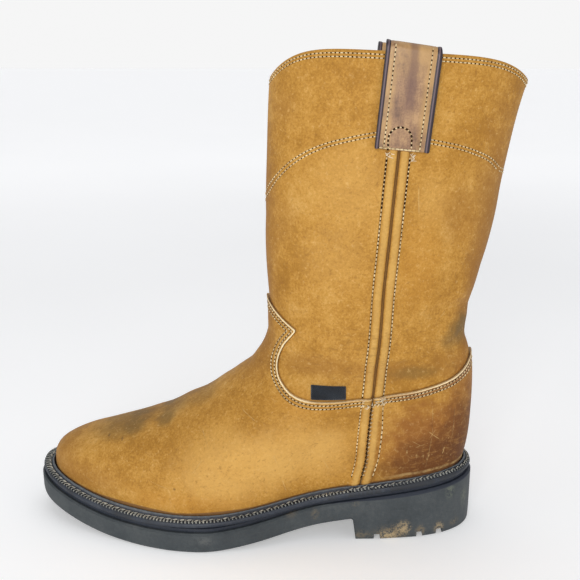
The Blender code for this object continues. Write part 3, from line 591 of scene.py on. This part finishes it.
def lap_over(name, node, outline, top, leather, edge):
    """A panel of leather laid over the upper, inside an outline seen from the side."""
    pick(upper)
    bpy.ops.object.duplicate()
    panel = bpy.context.object
    panel.name = panel.data.name = name
    mode("EDIT")
    bpy.ops.mesh.select_mode(type="FACE")
    bpy.ops.mesh.select_all(action="DESELECT")
    mode("OBJECT")
    for face in panel.data.polygons:
        face.select = face.material_index == 1 or face.center.z > top
    mode("EDIT")
    bpy.ops.mesh.delete(type="FACE")
    mode("OBJECT")
    places = points_of(panel.data) + normals_of(panel.data) * LAP_GAP
    panel.data.vertices.foreach_set("co", places.reshape(-1))
    take_materials(panel, (leather, edge), 0)
    apply_modifier(panel, "SOLIDIFY", thickness=LEATHER_THICK, offset=1.0)
    cutter = outline_prism(name + "_pattern", outline)
    take_materials(cutter, (leather, edge), 1)
    apply_modifier(panel, "BOOLEAN", object=cutter, operation="INTERSECT", solver="MANIFOLD",
                   material_mode="INDEX")
    bpy.data.objects.remove(cutter)
    mode("EDIT")
    bpy.ops.mesh.select_all(action="SELECT")
    bpy.ops.mesh.remove_doubles(threshold=0.00003)
    bpy.ops.mesh.select_all(action="DESELECT")
    mode("OBJECT")
    bpy.ops.object.shade_smooth_by_angle(angle=math.radians(45))
    store_distances(panel.data)
    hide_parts(node)
    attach(panel, "root")
    return panel


def raw_edge():
    material, shader, place, _ = new_material("raw_hide_edge", 0.8, 0.2)
    fibre = place.noise(1.2, 4.0, 0.7)
    colour = fibre.ramp((0.32, (0.50, 0.34, 0.16)), (0.50, (0.72, 0.54, 0.30)), (0.66, (0.86, 0.72, 0.48)))
    set_look(shader, colour, None, fibre, 0.0003)
    return material


hide_edge = raw_edge()

# The two panels meet in the groove of the side seam, with a joint between them.
JOINT = 0.0003
below, ahead, behind = -0.02, -0.30, 0.08
seam_below = [point for point in SEAM_LINE if point[1] < 0.1029]
seam_front = [(x - JOINT, z) for x, z in reversed(seam_below)]
seam_back = [(x + JOINT, z) for x, z in seam_below]
vamp_outline = VAMP_LINE[:-1] + seam_front
vamp_outline += [(seam_front[-1][0], below), (ahead, below), (ahead, VAMP_LINE[0][1])]
counter_outline = COUNTER_LINE[1:] + [(behind, COUNTER_LINE[-1][1]), (behind, below)]
counter_outline += [(seam_back[0][0], below)] + seam_back
vamp = lap_over("leather_vamp", "vamp", vamp_outline, 0.18, tan_leather("oiled_nubuck_vamp", (
    ("seam", -6.9, 0.9), ("edge", -2.0, 0.9), ("edge", -4.3, 0.9)), True), hide_edge)
counter = lap_over("leather_counter", "counter", counter_outline, 0.15, tan_leather("oiled_nubuck_counter", (
    ("seam", 6.9, 0.9), ("edge", -2.0, 0.9), ("edge", -4.3, 0.9)), True), hide_edge)


# The stitching: waxed pale thread, in single and double rows, each stitch pulled into its hole.
# At the top of the side seams the stitches are short and their holes wide and dark.
def tree_of(piece):
    return BVHTree.FromPolygons([vertex.co for vertex in piece.data.vertices],
                                [face.vertices for face in piece.data.polygons])


def thread_stitch(name, length, width, segments=6, rings=5):
    """One stitch, round and blunt, lying along X."""
    bpy.ops.object.select_all(action="DESELECT")
    bpy.ops.mesh.primitive_uv_sphere_add(segments=segments, ring_count=rings, radius=1.0,
                                         rotation=(0.0, math.radians(90), 0.0))
    stitch = bpy.context.object
    stitch.name = name
    stitch.scale = (width / 2, width / 2, length / 2)
    bpy.ops.object.transform_apply(location=True, rotation=True, scale=True)
    return stitch


def even_places(path, pitch, shift=0.5):
    """Places and directions at an even pitch along a path."""
    path = np.array([tuple(point) for point in path])
    steps = np.linalg.norm(np.diff(path, axis=0), axis=1)
    run = np.concatenate(((0.0,), np.cumsum(steps)))
    count = int(run[-1] / pitch)
    for number in range(count):
        at = (number + shift) * pitch
        row = min(int(np.searchsorted(run, at)), len(run) - 1)
        row = max(row, 1)
        share = (at - run[row - 1]) / max(run[row] - run[row - 1], 1e-9)
        place = path[row - 1] + (path[row] - path[row - 1]) * share
        ahead_row = path[min(row + 1, len(path) - 1)] - path[max(row - 2, 0)]
        yield Vector(place), Vector(ahead_row)


OFF_PIECE = 0.004


def sewn_frames(path, tree, pitch, lift, slant=0.0, shift=0.5):
    """Places and turns of stitches along a path, pressed on to the leather under them."""
    frames = []
    for place, ahead_way in even_places(path, pitch, shift):
        spot, normal, _, away = tree.find_nearest(place)
        if spot is None or away > OFF_PIECE:
            continue
        along = (ahead_way - normal * ahead_way.dot(normal)).normalized()
        across = normal.cross(along)
        if slant:
            along = (along * math.cos(slant) + across * math.sin(slant)).normalized()
            across = normal.cross(along)
        turn = Matrix((along, across, normal)).transposed().to_4x4()
        turn.translation = spot + normal * lift
        frames.append(turn)
    return frames


def dress(piece, material):
    """Gives a piece its one material and its body."""
    piece.data.materials.clear()
    piece.data.materials.append(material)
    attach(piece, "root")


def lay_copies(name, template, frames, material):
    """One mesh of copies of a small shape, one at each place."""
    corners = points_of(template.data)
    faces = [list(face.vertices) for face in template.data.polygons]
    places, fields = [], []
    for number, turn in enumerate(frames):
        matrix = np.array(turn)
        places.append(corners @ matrix[:3, :3].T + matrix[:3, 3])
        fields += [[corner + number * len(corners) for corner in face] for face in faces]
    pick(template)
    bpy.ops.object.duplicate()
    piece = bpy.context.object
    piece.name = name
    mesh = bpy.data.meshes.new(name)
    mesh.from_pydata(np.concatenate(places).tolist(), [], fields)
    mesh.validate()
    piece.data = mesh
    pick(piece)
    bpy.ops.object.shade_smooth()
    dress(piece, material)


def thread(name, pale, dark):
    material, shader, place, _ = new_material(name, 0.7, 0.3)
    twist = place.noise(0.8, 3.0, 0.7)
    soil = place.noise(14.0, 3.0, 0.6)
    tone = twist * 0.5 + soil * 0.5
    set_look(shader, tone.ramp((0.36, dark), (0.60, pale)), None, twist, 0.0002)
    return material


def seen_from_side(line, tree, side):
    """The places where a line, drawn in the side view, lies on a piece."""
    path = []
    for x, z in line:
        hit = tree.ray_cast(Vector((x, side * 0.2, z)), Vector((0.0, -side, 0.0)))[0]
        if hit is not None and hit.y * side > 0.0:
            path.append(hit)
    return path


def side_row(line, tree, side):
    """A row for sewing on a piece, along a line drawn in the side view."""
    return seen_from_side(line, tree, side), tree


def shifted(line, distance):
    """A line moved sideways in the side view, plus to its left, with any loops trimmed."""
    points = np.array(line)
    ahead_ways = np.gradient(points, axis=0)
    ahead_ways /= np.linalg.norm(ahead_ways, axis=1)[:, None]
    moved = points + np.stack((-ahead_ways[:, 1], ahead_ways[:, 0]), axis=1) * distance
    flat = np.stack((moved[:, 0], np.zeros(len(moved)), moved[:, 1]), axis=1)
    kept = np.abs(beside_line(flat, line)) > abs(distance) * 0.93
    return [tuple(point) for point, keep in zip(moved, kept) if keep]


STITCH, STITCH_WIDTH, PITCH = 0.0019, 0.00080, 0.0026
stitch = thread_stitch("stitch", STITCH, STITCH_WIDTH)
short_stitch = thread_stitch("short_stitch", 0.0012, 0.0008)
long_stitch = thread_stitch("long_stitch", 0.0027, 0.0010)
hole = thread_stitch("hole", 0.0012, 0.0010, 6, 3)
wide_hole = thread_stitch("wide_hole", 0.0022, 0.0014, 6, 3)
for awl_mark in (hole, wide_hole):
    awl_mark.data.transform(Matrix.Diagonal((1.0, 1.0, 0.35, 1.0)))
pale_thread = thread("pale_waxed_thread", (0.86, 0.72, 0.44), (0.36, 0.22, 0.08))


# The holes are flat dark lenses laid on the surface: painted shade standing for the holes.
def dark_hole(name, roughness, low, high):
    material, shader, place, _ = new_material(name, roughness, 0.1)
    set_look(shader, place.noise(2.0).ramp((0.3, low), (0.7, high)))
    return material


hole_dark = dark_hole("awl_hole", 0.9, (0.010, 0.005, 0.003), (0.055, 0.025, 0.009))


def sew(name, rows, dash=stitch, awl=hole, pitch=PITCH, slant=0.0):
    """Stitches and the holes between them along rows, each a path on a piece's tree."""
    frames, holes = [], []
    for path, tree in rows:
        if len(path) > 2:
            frames += sewn_frames(path, tree, pitch, 0.0001, slant)
            holes += sewn_frames(path, tree, pitch, 0.00002, slant, 0.0)
    lay_copies(name, dash, frames, pale_thread)
    lay_copies(name + "_holes", awl, holes, hole_dark)


upper_tree, vamp_tree, counter_tree = tree_of(upper), tree_of(vamp), tree_of(counter)
SHAFT_AXIS = (-0.022, 0.0)


def shaft_hit(turn, height):
    """A place beside the shaft at a turn in degrees, from the front by the outer side, and where
    the ray from there to the axis meets the leather."""
    angle = math.radians(turn)
    way = Vector((-math.cos(angle), -math.sin(angle), 0.0))
    start = Vector((SHAFT_AXIS[0], SHAFT_AXIS[1], height)) + way * 0.2
    return start, upper_tree.ray_cast(start, -way)[0]


def round_shaft(rows):
    """Places round the shaft, from rows of a turn and a height."""
    hits = [shaft_hit(turn, height)[1] for turn, height in rows]
    return [hit for hit in hits if hit is not None]


def collar_top(turn):
    """Height of the collar's edge at a turn round the shaft."""
    low, high = 0.25, 0.34
    for _ in range(14):
        middle = (low + high) / 2
        start, hit = shaft_hit(turn, middle)
        if hit is not None and (hit - start).length < 0.2:
            low = middle
        else:
            high = middle
    return low


collar_edge = [(turn, collar_top(turn)) for turn in range(0, 361, 3)]
sew("collar_stitching", [
    (round_shaft([(turn, top - drop) for turn, top in collar_edge]), upper_tree)
    for drop in (0.0022, 0.0043)])

# Yoke: a double row that arches over each side of the shaft.
YOKE = [(-0.1038, 0.2296), (-0.0965, 0.2419), (-0.0866, 0.2527), (-0.0742, 0.2610), (-0.0593, 0.2669),
        (-0.0341, 0.2725), (-0.0180, 0.2715), (-0.0017, 0.2681), (0.0178, 0.2637), (0.0347, 0.2568),
        (0.0431, 0.2495)]
yoke_rows, YOKE_DIP = [], 0.0035
for offset in (-0.0011, 0.0011):
    line = shifted(smooth_line(YOKE), offset)
    for side in (-1, 1):
        path = seen_from_side(line, upper_tree, side)
        yoke_rows.append((path, upper_tree))
    for end, middle in ((path[0], 0.0), (path[-1], 180.0)):
        reach = math.degrees(math.atan2(end.y, SHAFT_AXIS[0] - end.x)) - middle
        join = [(middle + reach * share / 12, end.z - YOKE_DIP * math.cos(math.pi * share / 24))
                for share in range(-12, 13)]
        yoke_rows.append((round_shaft(join), upper_tree))
sew("yoke_stitching", yoke_rows)

# Side seams: one row outside each raised band, from under the strap down to the welt. On the
# counter the rear row bows back and its stitches are long.
SEAM_ROW, ROW_BOW, LONG_PITCH = 0.0069, 0.0018, 0.0035
STRAP_FOOT, VAMP_TOP, WELT_LEVEL, DARK_FROM = 0.2600, 0.1020, 0.0440, 0.2285
seam_rows, long_rows, dark_rows = [], [], []
for side in (-1, 1):
    for offset in (-SEAM_ROW, SEAM_ROW):
        line = [(x + offset, z) for x, z in SEAM_LINE]
        low = [point for point in line if WELT_LEVEL < point[1] < VAMP_TOP - 0.0015]
        if offset > 0:
            span = VAMP_TOP - WELT_LEVEL
            low = [(x + ROW_BOW * math.sin(math.pi * (z - WELT_LEVEL) / span), z) for x, z in low]
        split = (float(np.interp(DARK_FROM, [z for x, z in line], [x for x, z in line])), DARK_FROM)
        middle = [point for point in line if VAMP_TOP + 0.0008 < point[1] < DARK_FROM] + [split]
        high = [split] + [point for point in line if DARK_FROM < point[1] < STRAP_FOOT + 0.004]
        lower_tree = vamp_tree if offset < 0 else counter_tree
        (long_rows if offset > 0 else seam_rows).append(side_row(low, lower_tree, side))
        seam_rows.append(side_row(middle, upper_tree, side))
        dark_rows.append(side_row(high, upper_tree, side))
sew("side_seam_stitching", seam_rows)
sew("counter_seam_stitching", long_rows, long_stitch, hole, LONG_PITCH)
sew("upper_seam_stitching", dark_rows, short_stitch, wide_hole)

# Below the vamp's edge the groove is whipped shut over and over, and loose ends stand at its top.
whip = thread_stitch("whip", 0.0023, 0.0010)
WHIP_PITCH, WHIP_SLANT, WHIP_SIDE = 0.0030, 0.75, 0.0009
whips, notches = [], []
for side in (-1, 1):
    low = [(x, z) for x, z in SEAM_LINE if WELT_LEVEL < z < VAMP_TOP]
    path = seen_from_side([(x + WHIP_SIDE, z) for x, z in low], counter_tree, side)
    whips += sewn_frames(path, counter_tree, WHIP_PITCH, 0.0002, side * WHIP_SLANT)
    path = seen_from_side([(x - WHIP_SIDE * 0.4, z) for x, z in low], vamp_tree, side)
    notches += sewn_frames(path, vamp_tree, WHIP_PITCH, 0.00008, side * WHIP_SLANT, 0.0)
soiled_thread = thread("soiled_thread", (0.66, 0.50, 0.27), (0.16, 0.08, 0.03))
lay_copies("groove_whipping", whip, whips, soiled_thread)
# Painted shade for the whip's holes down the groove.
lay_copies("groove_notches", wide_hole, notches, hole_dark)
tuft = thread_stitch("tuft", 0.0026, 0.00040, 5, 4)


def frayed_ends(place, spread, count, tree, side):
    """Loose ends of thread lying all ways round a place in the side view."""
    frames = []
    for _ in range(count):
        x, z = random.gauss(place[0], spread[0]), random.gauss(place[1], spread[1])
        for spot in seen_from_side([(x, z)], tree, side):
            normal = tree.find_nearest(spot)[1]
            way = Vector((random.uniform(-1, 1), 0.0, random.uniform(-1, 1)))
            along = (way - normal * way.dot(normal)).normalized()
            along = (along + normal * random.uniform(0.0, 0.35)).normalized()
            across = normal.cross(along).normalized()
            turn = Matrix((along, across, along.cross(across))).transposed().to_4x4()
            turn.translation = spot + normal * random.uniform(0.0002, 0.0008)
            frames.append(turn)
    return frames


random.seed(11)
ends = []
for side in (-1, 1):
    ends += frayed_ends((-0.0270, 0.1005), (0.0020, 0.0020), 24, counter_tree, side)
    ends += frayed_ends((-0.0345, 0.0990), (0.0022, 0.0010), 8, vamp_tree, side)
    ends += frayed_ends((-0.0262, 0.2605), (0.0010, 0.0007), 8, upper_tree, side)
    ends += frayed_ends((-0.0125, 0.2585), (0.0008, 0.0014), 12, upper_tree, side)
frayed_thread = thread("frayed_thread", (0.92, 0.84, 0.66), (0.55, 0.42, 0.24))
lay_copies("frayed_ends", tuft, ends, frayed_thread)

# Vamp and counter edges: two rows just inside each raw edge.
sew("lap_stitching", [
    side_row(shifted(line, offset), tree, side) for side in (-1, 1) for offset in (-0.0020, -0.0043)
    for line, tree in ((VAMP_LINE, vamp_tree), (COUNTER_LINE, counter_tree))], slant=0.2)


# The pull straps: brown leather with rolled, bound edges, looped over the collar on each side and
# sewn to the shaft outside and inside.
def smooth_copy(node, name, degrees, hold, levels):
    """A copy of a CAD node, smoothed between the edges that turn sharply."""
    piece = copy_node(node, name)
    hold_edges(piece, degrees, hold)
    bpy.ops.object.shade_smooth()
    apply_modifier(piece, "SUBSURF", levels=levels, render_levels=levels)
    return piece


STRAP_TOP, STRAP_CENTRE, STRAP_SLOPE = 0.3205, -0.01466, 0.0893
STRAP_HALF, BOUND_FROM = 0.01575, 13.0


def strap_leather():
    material, shader, place, _ = new_material("strap_leather", 0.45, 0.5)
    across = place.stored("across")
    cloud = place.noise(16.0, 4.0, 0.6)
    grain = place.noise(0.9, 3.0, 0.6)
    streak = place.noise(5.0, 3.0, 0.6, (1.0, 1.0, 0.2))
    tone = cloud * 0.45 + streak * 0.35 + grain * 0.2
    colour = tone.ramp((0.40, (0.140, 0.072, 0.042)), (0.50, (0.275, 0.152, 0.078)),
                       (0.60, (0.430, 0.255, 0.120)))
    height = place.axis("Z")
    tan_side = abs(across).ease(6.0, 9.5) * abs(across).ease(13.4, 12.6) | height.ease(300.0, 318.0)
    colour = colour.over(tan_side * (cloud.ease(0.25, 0.55) * 0.70), (0.46, 0.27, 0.095))
    stain = abs(across - 1.0 + (cloud - 0.5) * 8.0).ease(5.0, 1.0) * height.ease(276.0, 292.0)
    colour = colour.over(stain * 0.60, (0.120, 0.055, 0.045))
    bound = abs(across).ease(12.8, 13.1)
    colour = colour.over(bound, (0.014, 0.006, 0.011))
    # Painted highlight along the crown of each rolled binding.
    binding_highlight = abs(abs(across) - 14.1).ease(0.60, 0.15)
    colour = colour.over(binding_highlight * 0.62, (0.190, 0.125, 0.140))
    set_look(shader, colour, cloud * 0.3 + 0.28, grain * 0.4 + streak * 0.3, 0.0003)
    return material


straps = []
strap_finish = strap_leather()
for node in ("pull_strap_outer", "pull_strap_inner"):
    strap = smooth_copy(node, "leather_" + node, 60, 0.55, 3)
    places = points_of(strap.data)
    across = (places[:, 0] - STRAP_CENTRE + STRAP_SLOPE * (STRAP_TOP - places[:, 2])) * MM_PER_M
    across *= STRAP_HALF * MM_PER_M / np.abs(across).max()
    reach = np.abs(across)
    roll = 0.50 * np.clip(np.sin(np.pi * (reach - BOUND_FROM) / 3.4), 0.0, 1.0) * (reach > BOUND_FROM)
    groove = 0.45 * np.exp(-((reach - 12.7) / 0.5) ** 2) + 0.18 * np.exp(-((reach - 10.6) / 0.8) ** 2)
    shift = normals_of(strap.data) * ((roll - groove) * 0.5 / MM_PER_M)[:, None]
    strap.data.vertices.foreach_set("co", (places + shift).reshape(-1))
    store(strap.data, "across", across)
    dress(strap, strap_finish)
    straps.append((strap, tree_of(strap)))

# Each strap: a row beside each binding, an arch in short stitches and a whipped foot.
strap_rows, arch_rows, foot_rows = [], [], []
STRAP_ROW, FOOT_ROW, FOOT_PITCH = 0.0106, 0.0009, 0.0024
ARCH_RADIUS, ARCH_HEIGHT, STRAP_LOW, STRAP_HIGH = 0.0069, 0.0060, 0.2640, 0.3235
for side, (strap, strap_tree) in zip((-1, 1), straps):
    for offset in (-STRAP_ROW, STRAP_ROW):
        line = []
        for step in range(31):
            z = STRAP_LOW + (STRAP_HIGH - STRAP_LOW) * step / 30
            x = STRAP_CENTRE - STRAP_SLOPE * (STRAP_TOP - z) + offset
            line.append((x, z - offset * STRAP_SLOPE))
        strap_rows.append(side_row(line, strap_tree, side))
    centre = STRAP_CENTRE - STRAP_SLOPE * (STRAP_TOP - STRAP_LOW) - 0.0012
    arch = [(centre - ARCH_RADIUS, STRAP_LOW), (centre - ARCH_RADIUS, STRAP_LOW + ARCH_HEIGHT * 0.5)]
    for step in range(17):
        angle = math.pi * (1 - step / 16)
        arch.append((centre + ARCH_RADIUS * math.cos(angle),
                     STRAP_LOW + ARCH_HEIGHT + ARCH_RADIUS * math.sin(angle)))
    arch += [(centre + ARCH_RADIUS, STRAP_LOW + ARCH_HEIGHT * (1 - step / 6)) for step in range(9)]
    places = points_of(strap.data)
    outside = (places[:, 1] * side > 0.9 * (places[:, 1] * side).max()) & (abs(places[:, 0] - centre) < 0.002)
    low = places[outside, 2].min()
    foot = [(centre + off / MM_PER_M, low + FOOT_ROW - off / MM_PER_M * STRAP_SLOPE)
            for off in range(-12, 14)]
    foot_rows.append(side_row(foot, strap_tree, side))
    arch_rows.append(side_row(arch, strap_tree, side))
sew("strap_stitching", strap_rows)
sew("strap_arch_stitching", arch_rows, short_stitch, wide_hole)
sew("strap_foot_whipping", foot_rows, long_stitch, hole, FOOT_PITCH)


# The side tag: a folded strip of black woven cloth, caught under the vamp's edge. It is blank.
tag = smooth_copy("side_label", "blank_side_tag", 60, 0.8, 2)
tag_cloth, tag_shader, tag_place, _ = new_material("black_tag_cloth", 0.8, 0.2, 0.3)
weave_x = tag_place.axis("X") * (math.tau / 0.35)
weave_z = tag_place.axis("Z") * (math.tau / 0.45)
weave = weave_x.maths("SINE", weave_x) * weave_z.maths("SINE", weave_z)
tag_tone = weave * 0.25 + tag_place.noise(6.0)
set_look(tag_shader, tag_tone.ramp((0.25, (0.004, 0.006, 0.010)), (0.75, (0.015, 0.021, 0.030))),
         None, weave, 0.0001)
dress(tag, tag_cloth)


# The welt: dark moulded rubber with a lip against the leather, a wheeled strip that the sole's
# thread runs through, and a smooth rounded edge.
def worn_rubber(name, dark, mid, dust, roughness, dirt=(), lit_lip_and_shaded_strip=False, dark_top=False):
    """Moulded rubber, paler with dust on its wide faces, scuffed and dirty in places."""
    material, shader, place, both = new_material(name, roughness, 0.35)
    cloud = place.noise(38.0, 4.0, 0.6)
    fine = place.noise(3.0, 5.0, 0.7)
    speck = place.noise(0.9, 2.0, 0.6)
    tone = cloud * 0.5 + fine * 0.35 + speck * 0.15
    colour = tone.ramp((0.36, dark), (0.50, mid), (0.66, dust))
    ragged = (fine - 0.5) * 2.2 + (speck - 0.5) * 1.2
    for spot in dirt:
        grit = both.spot(spot.place, spot.reach, ragged) * (fine.ease(0.40, 0.58) * spot.strength)
        colour = colour.over(grit, spot.colour)
    if dark_top:
        reach = place.axis("X").ease(-75.0, 5.0, 2.6, 5.2)
        colour = colour.over((place.stored("wall") + reach).ease(-0.25, 0.25), (0.020, 0.025, 0.037))
    # Painted shade over the wheeled strip, and a painted highlight along the top of the lip.
    if lit_lip_and_shaded_strip:
        share = place.stored("lip")
        strip = share.ease(0.10, 0.18) * share.ease(0.78, 0.70)
        colour = colour.over(strip * (fine * 1.2), (0.022, 0.023, 0.024))
        colour = colour.over(abs(share - 0.93).ease(0.14, 0.04) * (fine * 0.9), (0.210, 0.225, 0.225))
    scratch = place.noise(2.2, 2.0, 0.5, (0.12, 0.12, 1.6))
    colour = colour.over(scratch.ease(0.66, 0.74) * 0.30, dust)
    set_look(shader, colour, fine * 0.3 + (roughness - 0.15), fine * 0.5 + speck * 0.3 + cloud * 0.4, 0.0003)
    return material


welt = smooth_copy("welt", "rubber_welt", 48, 0.6, 2)
dress(welt, worn_rubber("welt_rubber", (0.014, 0.018, 0.027), (0.027, 0.033, 0.046),
                        (0.060, 0.068, 0.080), 0.50, lit_lip_and_shaded_strip=True))
welt_tree = tree_of(welt)
WELT_MIDDLE = (-0.110, 0.0)


def welt_outline():
    """The welt's outer edge from above, found by rays, at an even pitch."""
    outline = []
    for number in range(360):
        angle = math.tau * number / 360
        way = Vector((-math.cos(angle), -math.sin(angle), 0.0))
        reach = 0.20
        while reach > 0.02:
            start = Vector((WELT_MIDDLE[0], WELT_MIDDLE[1], 0.1)) + way * reach
            if welt_tree.ray_cast(start, Vector((0, 0, -1)))[0] is not None:
                break
            reach -= 0.00025
        outline.append((start.x, start.y))
    outline = np.array(outline)
    for _ in range(3):
        outline = (np.roll(outline, 1, axis=0) + 2 * outline + np.roll(outline, -1, axis=0)) / 4
    return outline


outer_edge = welt_outline()
edge_ways = np.roll(outer_edge, -1, axis=0) - np.roll(outer_edge, 1, axis=0)
edge_ways /= np.linalg.norm(edge_ways, axis=1)[:, None]
inwards = np.stack((-edge_ways[:, 1], edge_ways[:, 0]), axis=1)
inwards *= np.sign(((np.array(WELT_MIDDLE) - outer_edge) * inwards).sum(axis=1))[:, None]


def welt_under(number, inset):
    """The place on the welt's top, in from its outer edge by a distance."""
    x, y = outer_edge[number] + inwards[number] * inset
    return welt_tree.ray_cast(Vector((x, y, 0.1)), Vector((0, 0, -1)))[0]


def lip_inset(number):
    """How far in the top of the welt's lip stands."""
    rows = [(hit.z, inset) for inset in np.arange(0.0010, 0.0085, 0.0005)
            for hit in (welt_under(number, inset),) if hit is not None]
    return max(rows)[1]


lips = np.array([lip_inset(number) for number in range(len(outer_edge))])
for _ in range(6):
    lips = (np.roll(lips, 1) + 2 * lips + np.roll(lips, -1)) / 4


def welt_path(share):
    """A closed path on the welt's top, at a share of the way in to its lip."""
    path = [hit for hit in (welt_under(number, lips[number] * share) for number in range(len(lips)))
            if hit is not None]
    return path + path[:1]


def strip_frames(share, lift, slant=0.0, shift=0.5, pitch=0.0024):
    """Places along the strip, made as wide as the strip is there."""
    frames = sewn_frames(welt_path(share), welt_tree, pitch, lift, slant, shift)
    for turn in frames:
        off = np.hypot(*(outer_edge - np.array(turn.translation[:2])).T)
        width = lips[off.argmin()] / 0.0055
        for row in range(3):
            turn[row][1] *= width
    return frames


bpy.ops.object.select_all(action="DESELECT")
bpy.ops.mesh.primitive_cube_add(size=1.0)
wheel_bar = bpy.context.object
wheel_bar.name = "wheel_bar"
wheel_bar.scale = (0.0010, 0.0038, 0.0013)
bpy.ops.object.transform_apply(location=True, rotation=True, scale=True)
apply_modifier(wheel_bar, "BEVEL", width=0.00035, segments=1)

# Shares of the way in to the lip: each point's own, and where the strip's three rows lie.
STRIP_MIDDLE, PIT_ROW, LINK_ROW = 0.41, 0.22, 0.58
lip_share = np.empty(len(welt.data.vertices))
for number, place in enumerate(points_of(welt.data)):
    off = np.hypot(*(outer_edge - place[:2]).T)
    lip_share[number] = off.min() / lips[off.argmin()]
store(welt.data, "lip", lip_share)
wheeled_rubber = worn_rubber("wheeled_rubber", (0.075, 0.080, 0.080), (0.235, 0.240, 0.222),
                             (0.520, 0.500, 0.420), 0.7)
lay_copies("welt_wheeling", wheel_bar, strip_frames(STRIP_MIDDLE, 0.00015), wheeled_rubber)
sole_stitch = thread_stitch("sole_stitch", 0.0034, 0.0010)
sole_thread = thread("dusty_sole_thread", (0.50, 0.47, 0.39), (0.11, 0.11, 0.10))
lay_copies("welt_stitching", sole_stitch, strip_frames(LINK_ROW, 0.00070, 0.28, pitch=0.0048),
           sole_thread)
# Flat dark pits in the strip: painted shade standing for the holes that the sole's thread runs through.
pit = thread_stitch("pit", 0.0014, 0.0021, 6, 3)
pit.data.transform(Matrix.Diagonal((1.0, 1.0, 0.3, 1.0)))
pit_dark = dark_hole("pit_dark", 0.8, (0.003, 0.004, 0.006), (0.010, 0.012, 0.016))
pits = strip_frames(PIT_ROW, 0.00030, 0.0, 0.0) + strip_frames(LINK_ROW, 0.00020, 0.0, 0.0)
lay_copies("welt_pits", pit, pits, pit_dark)


# The sole: a thin dark midsole let in under the welt, and one moulded unit of grey rubber with its
# heel, lugs and treads. Dust, brown dirt at the heel's foot and small scuffs mark the wall.
# WALL_TOP is the top edge of the unit's wall, seen from the side.
WALL_TOP = [(-0.280, 0.0320), (-0.266, 0.0300), (-0.221, 0.0205), (-0.160, 0.0170), (-0.110, 0.0210),
            (-0.083, 0.0255), (-0.041, 0.0325), (0.009, 0.0385), (0.039, 0.0415), (0.060, 0.0430)]
DIRT_BROWN, DRY_MUD = (0.210, 0.155, 0.085), (0.46, 0.34, 0.18)
OLIVE_DUST, PALE_DUST, GREY_DUST = (0.20, 0.22, 0.15), (0.20, 0.21, 0.15), (0.17, 0.17, 0.16)
DIRT = spots_in((
    (DIRT_BROWN, ((-17, 38, 4, 13, 12, 7, 0.80),)),
    (DRY_MUD, ((-9, 37, 8, 6, 12, 6, 0.70), (-19, 38, 3, 7, 12, 4, 0.75))),
    (DIRT_BROWN, ((3, 34, 5, 4, 12, 5, 0.65), (-38, 40, 4, 8, 12, 4, 0.45))),
    (DRY_MUD, ((16, 30, 5, 4, 12, 5, 0.60),)),
    (OLIVE_DUST, ((23, 26, 31, 4, 10, 7, 0.40),)),
    (PALE_DUST, ((34, 16, 22, 3, 10, 9, 0.35),)),
    (DIRT_BROWN, (
        (27, 23, 6, 4, 10, 3, 0.45), (-85, 46, 24, 5, 10, 6, 0.35), (-69, 43, 20, 3, 10, 5, 0.35),
        (-42, 40, 28, 3, 10, 3, 0.35))),
    (GREY_DUST, ((-142, 60, 9, 8, 14, 4, 0.30), (-190, 56, 16, 10, 14, 4, 0.30))),
))


def smooth_sole(node, name, material):
    """A part of the sole, smoothed between its sharp edges, with its distance from the wall's top."""
    piece = smooth_copy(node, name, 30, 1.0, 2)
    store(piece.data, "wall", beside_line(points_of(piece.data), WALL_TOP) * MM_PER_M)
    pick(piece)
    bpy.ops.object.shade_smooth_by_angle(angle=math.radians(34))
    dress(piece, material)


smooth_sole("outsole", "rubber_outsole", worn_rubber(
    "grey_rubber", (0.030, 0.036, 0.040), (0.045, 0.053, 0.057), (0.074, 0.082, 0.083), 0.62,
    DIRT, dark_top=True))
smooth_sole("midsole", "rubber_midsole", worn_rubber(
    "dark_rubber", (0.010, 0.013, 0.020), (0.018, 0.023, 0.034), (0.034, 0.040, 0.052), 0.5))


# The insole: a footbed of brushed board, worn darker under the heel and the ball of the foot.
insole = smooth_copy("insole", "footbed_insole", 50, 0.7, 1)
bed, bed_shader, bed_place, _ = new_material("worn_footbed", 0.85, 0.2, 0.1)
bed_nap, bed_cloud = bed_place.noise(1.8, 4.0, 0.7), bed_place.noise(26.0, 3.0)
bed_tone = bed_nap * 0.4 + bed_cloud * 0.6
bed_colour = bed_tone.ramp((0.34, (0.14, 0.095, 0.055)), (0.66, (0.32, 0.235, 0.140)))
for centre in ((0.0, 0.0, 34.0), (-160.0, 0.0, 24.0)):
    bed_colour = bed_colour.over(bed_place.spot(centre, (45.0, 30.0, 30.0), (bed_cloud - 0.5) * 1.2) * 0.6,
                                 (0.09, 0.058, 0.033))
set_look(bed_shader, bed_colour, None, bed_nap, 0.0003)
dress(insole, bed)

# The small shapes that were copied go.
for template in (stitch, short_stitch, long_stitch, hole, wide_hole, whip, tuft, wheel_bar, sole_stitch, pit):
    bpy.data.objects.remove(template)
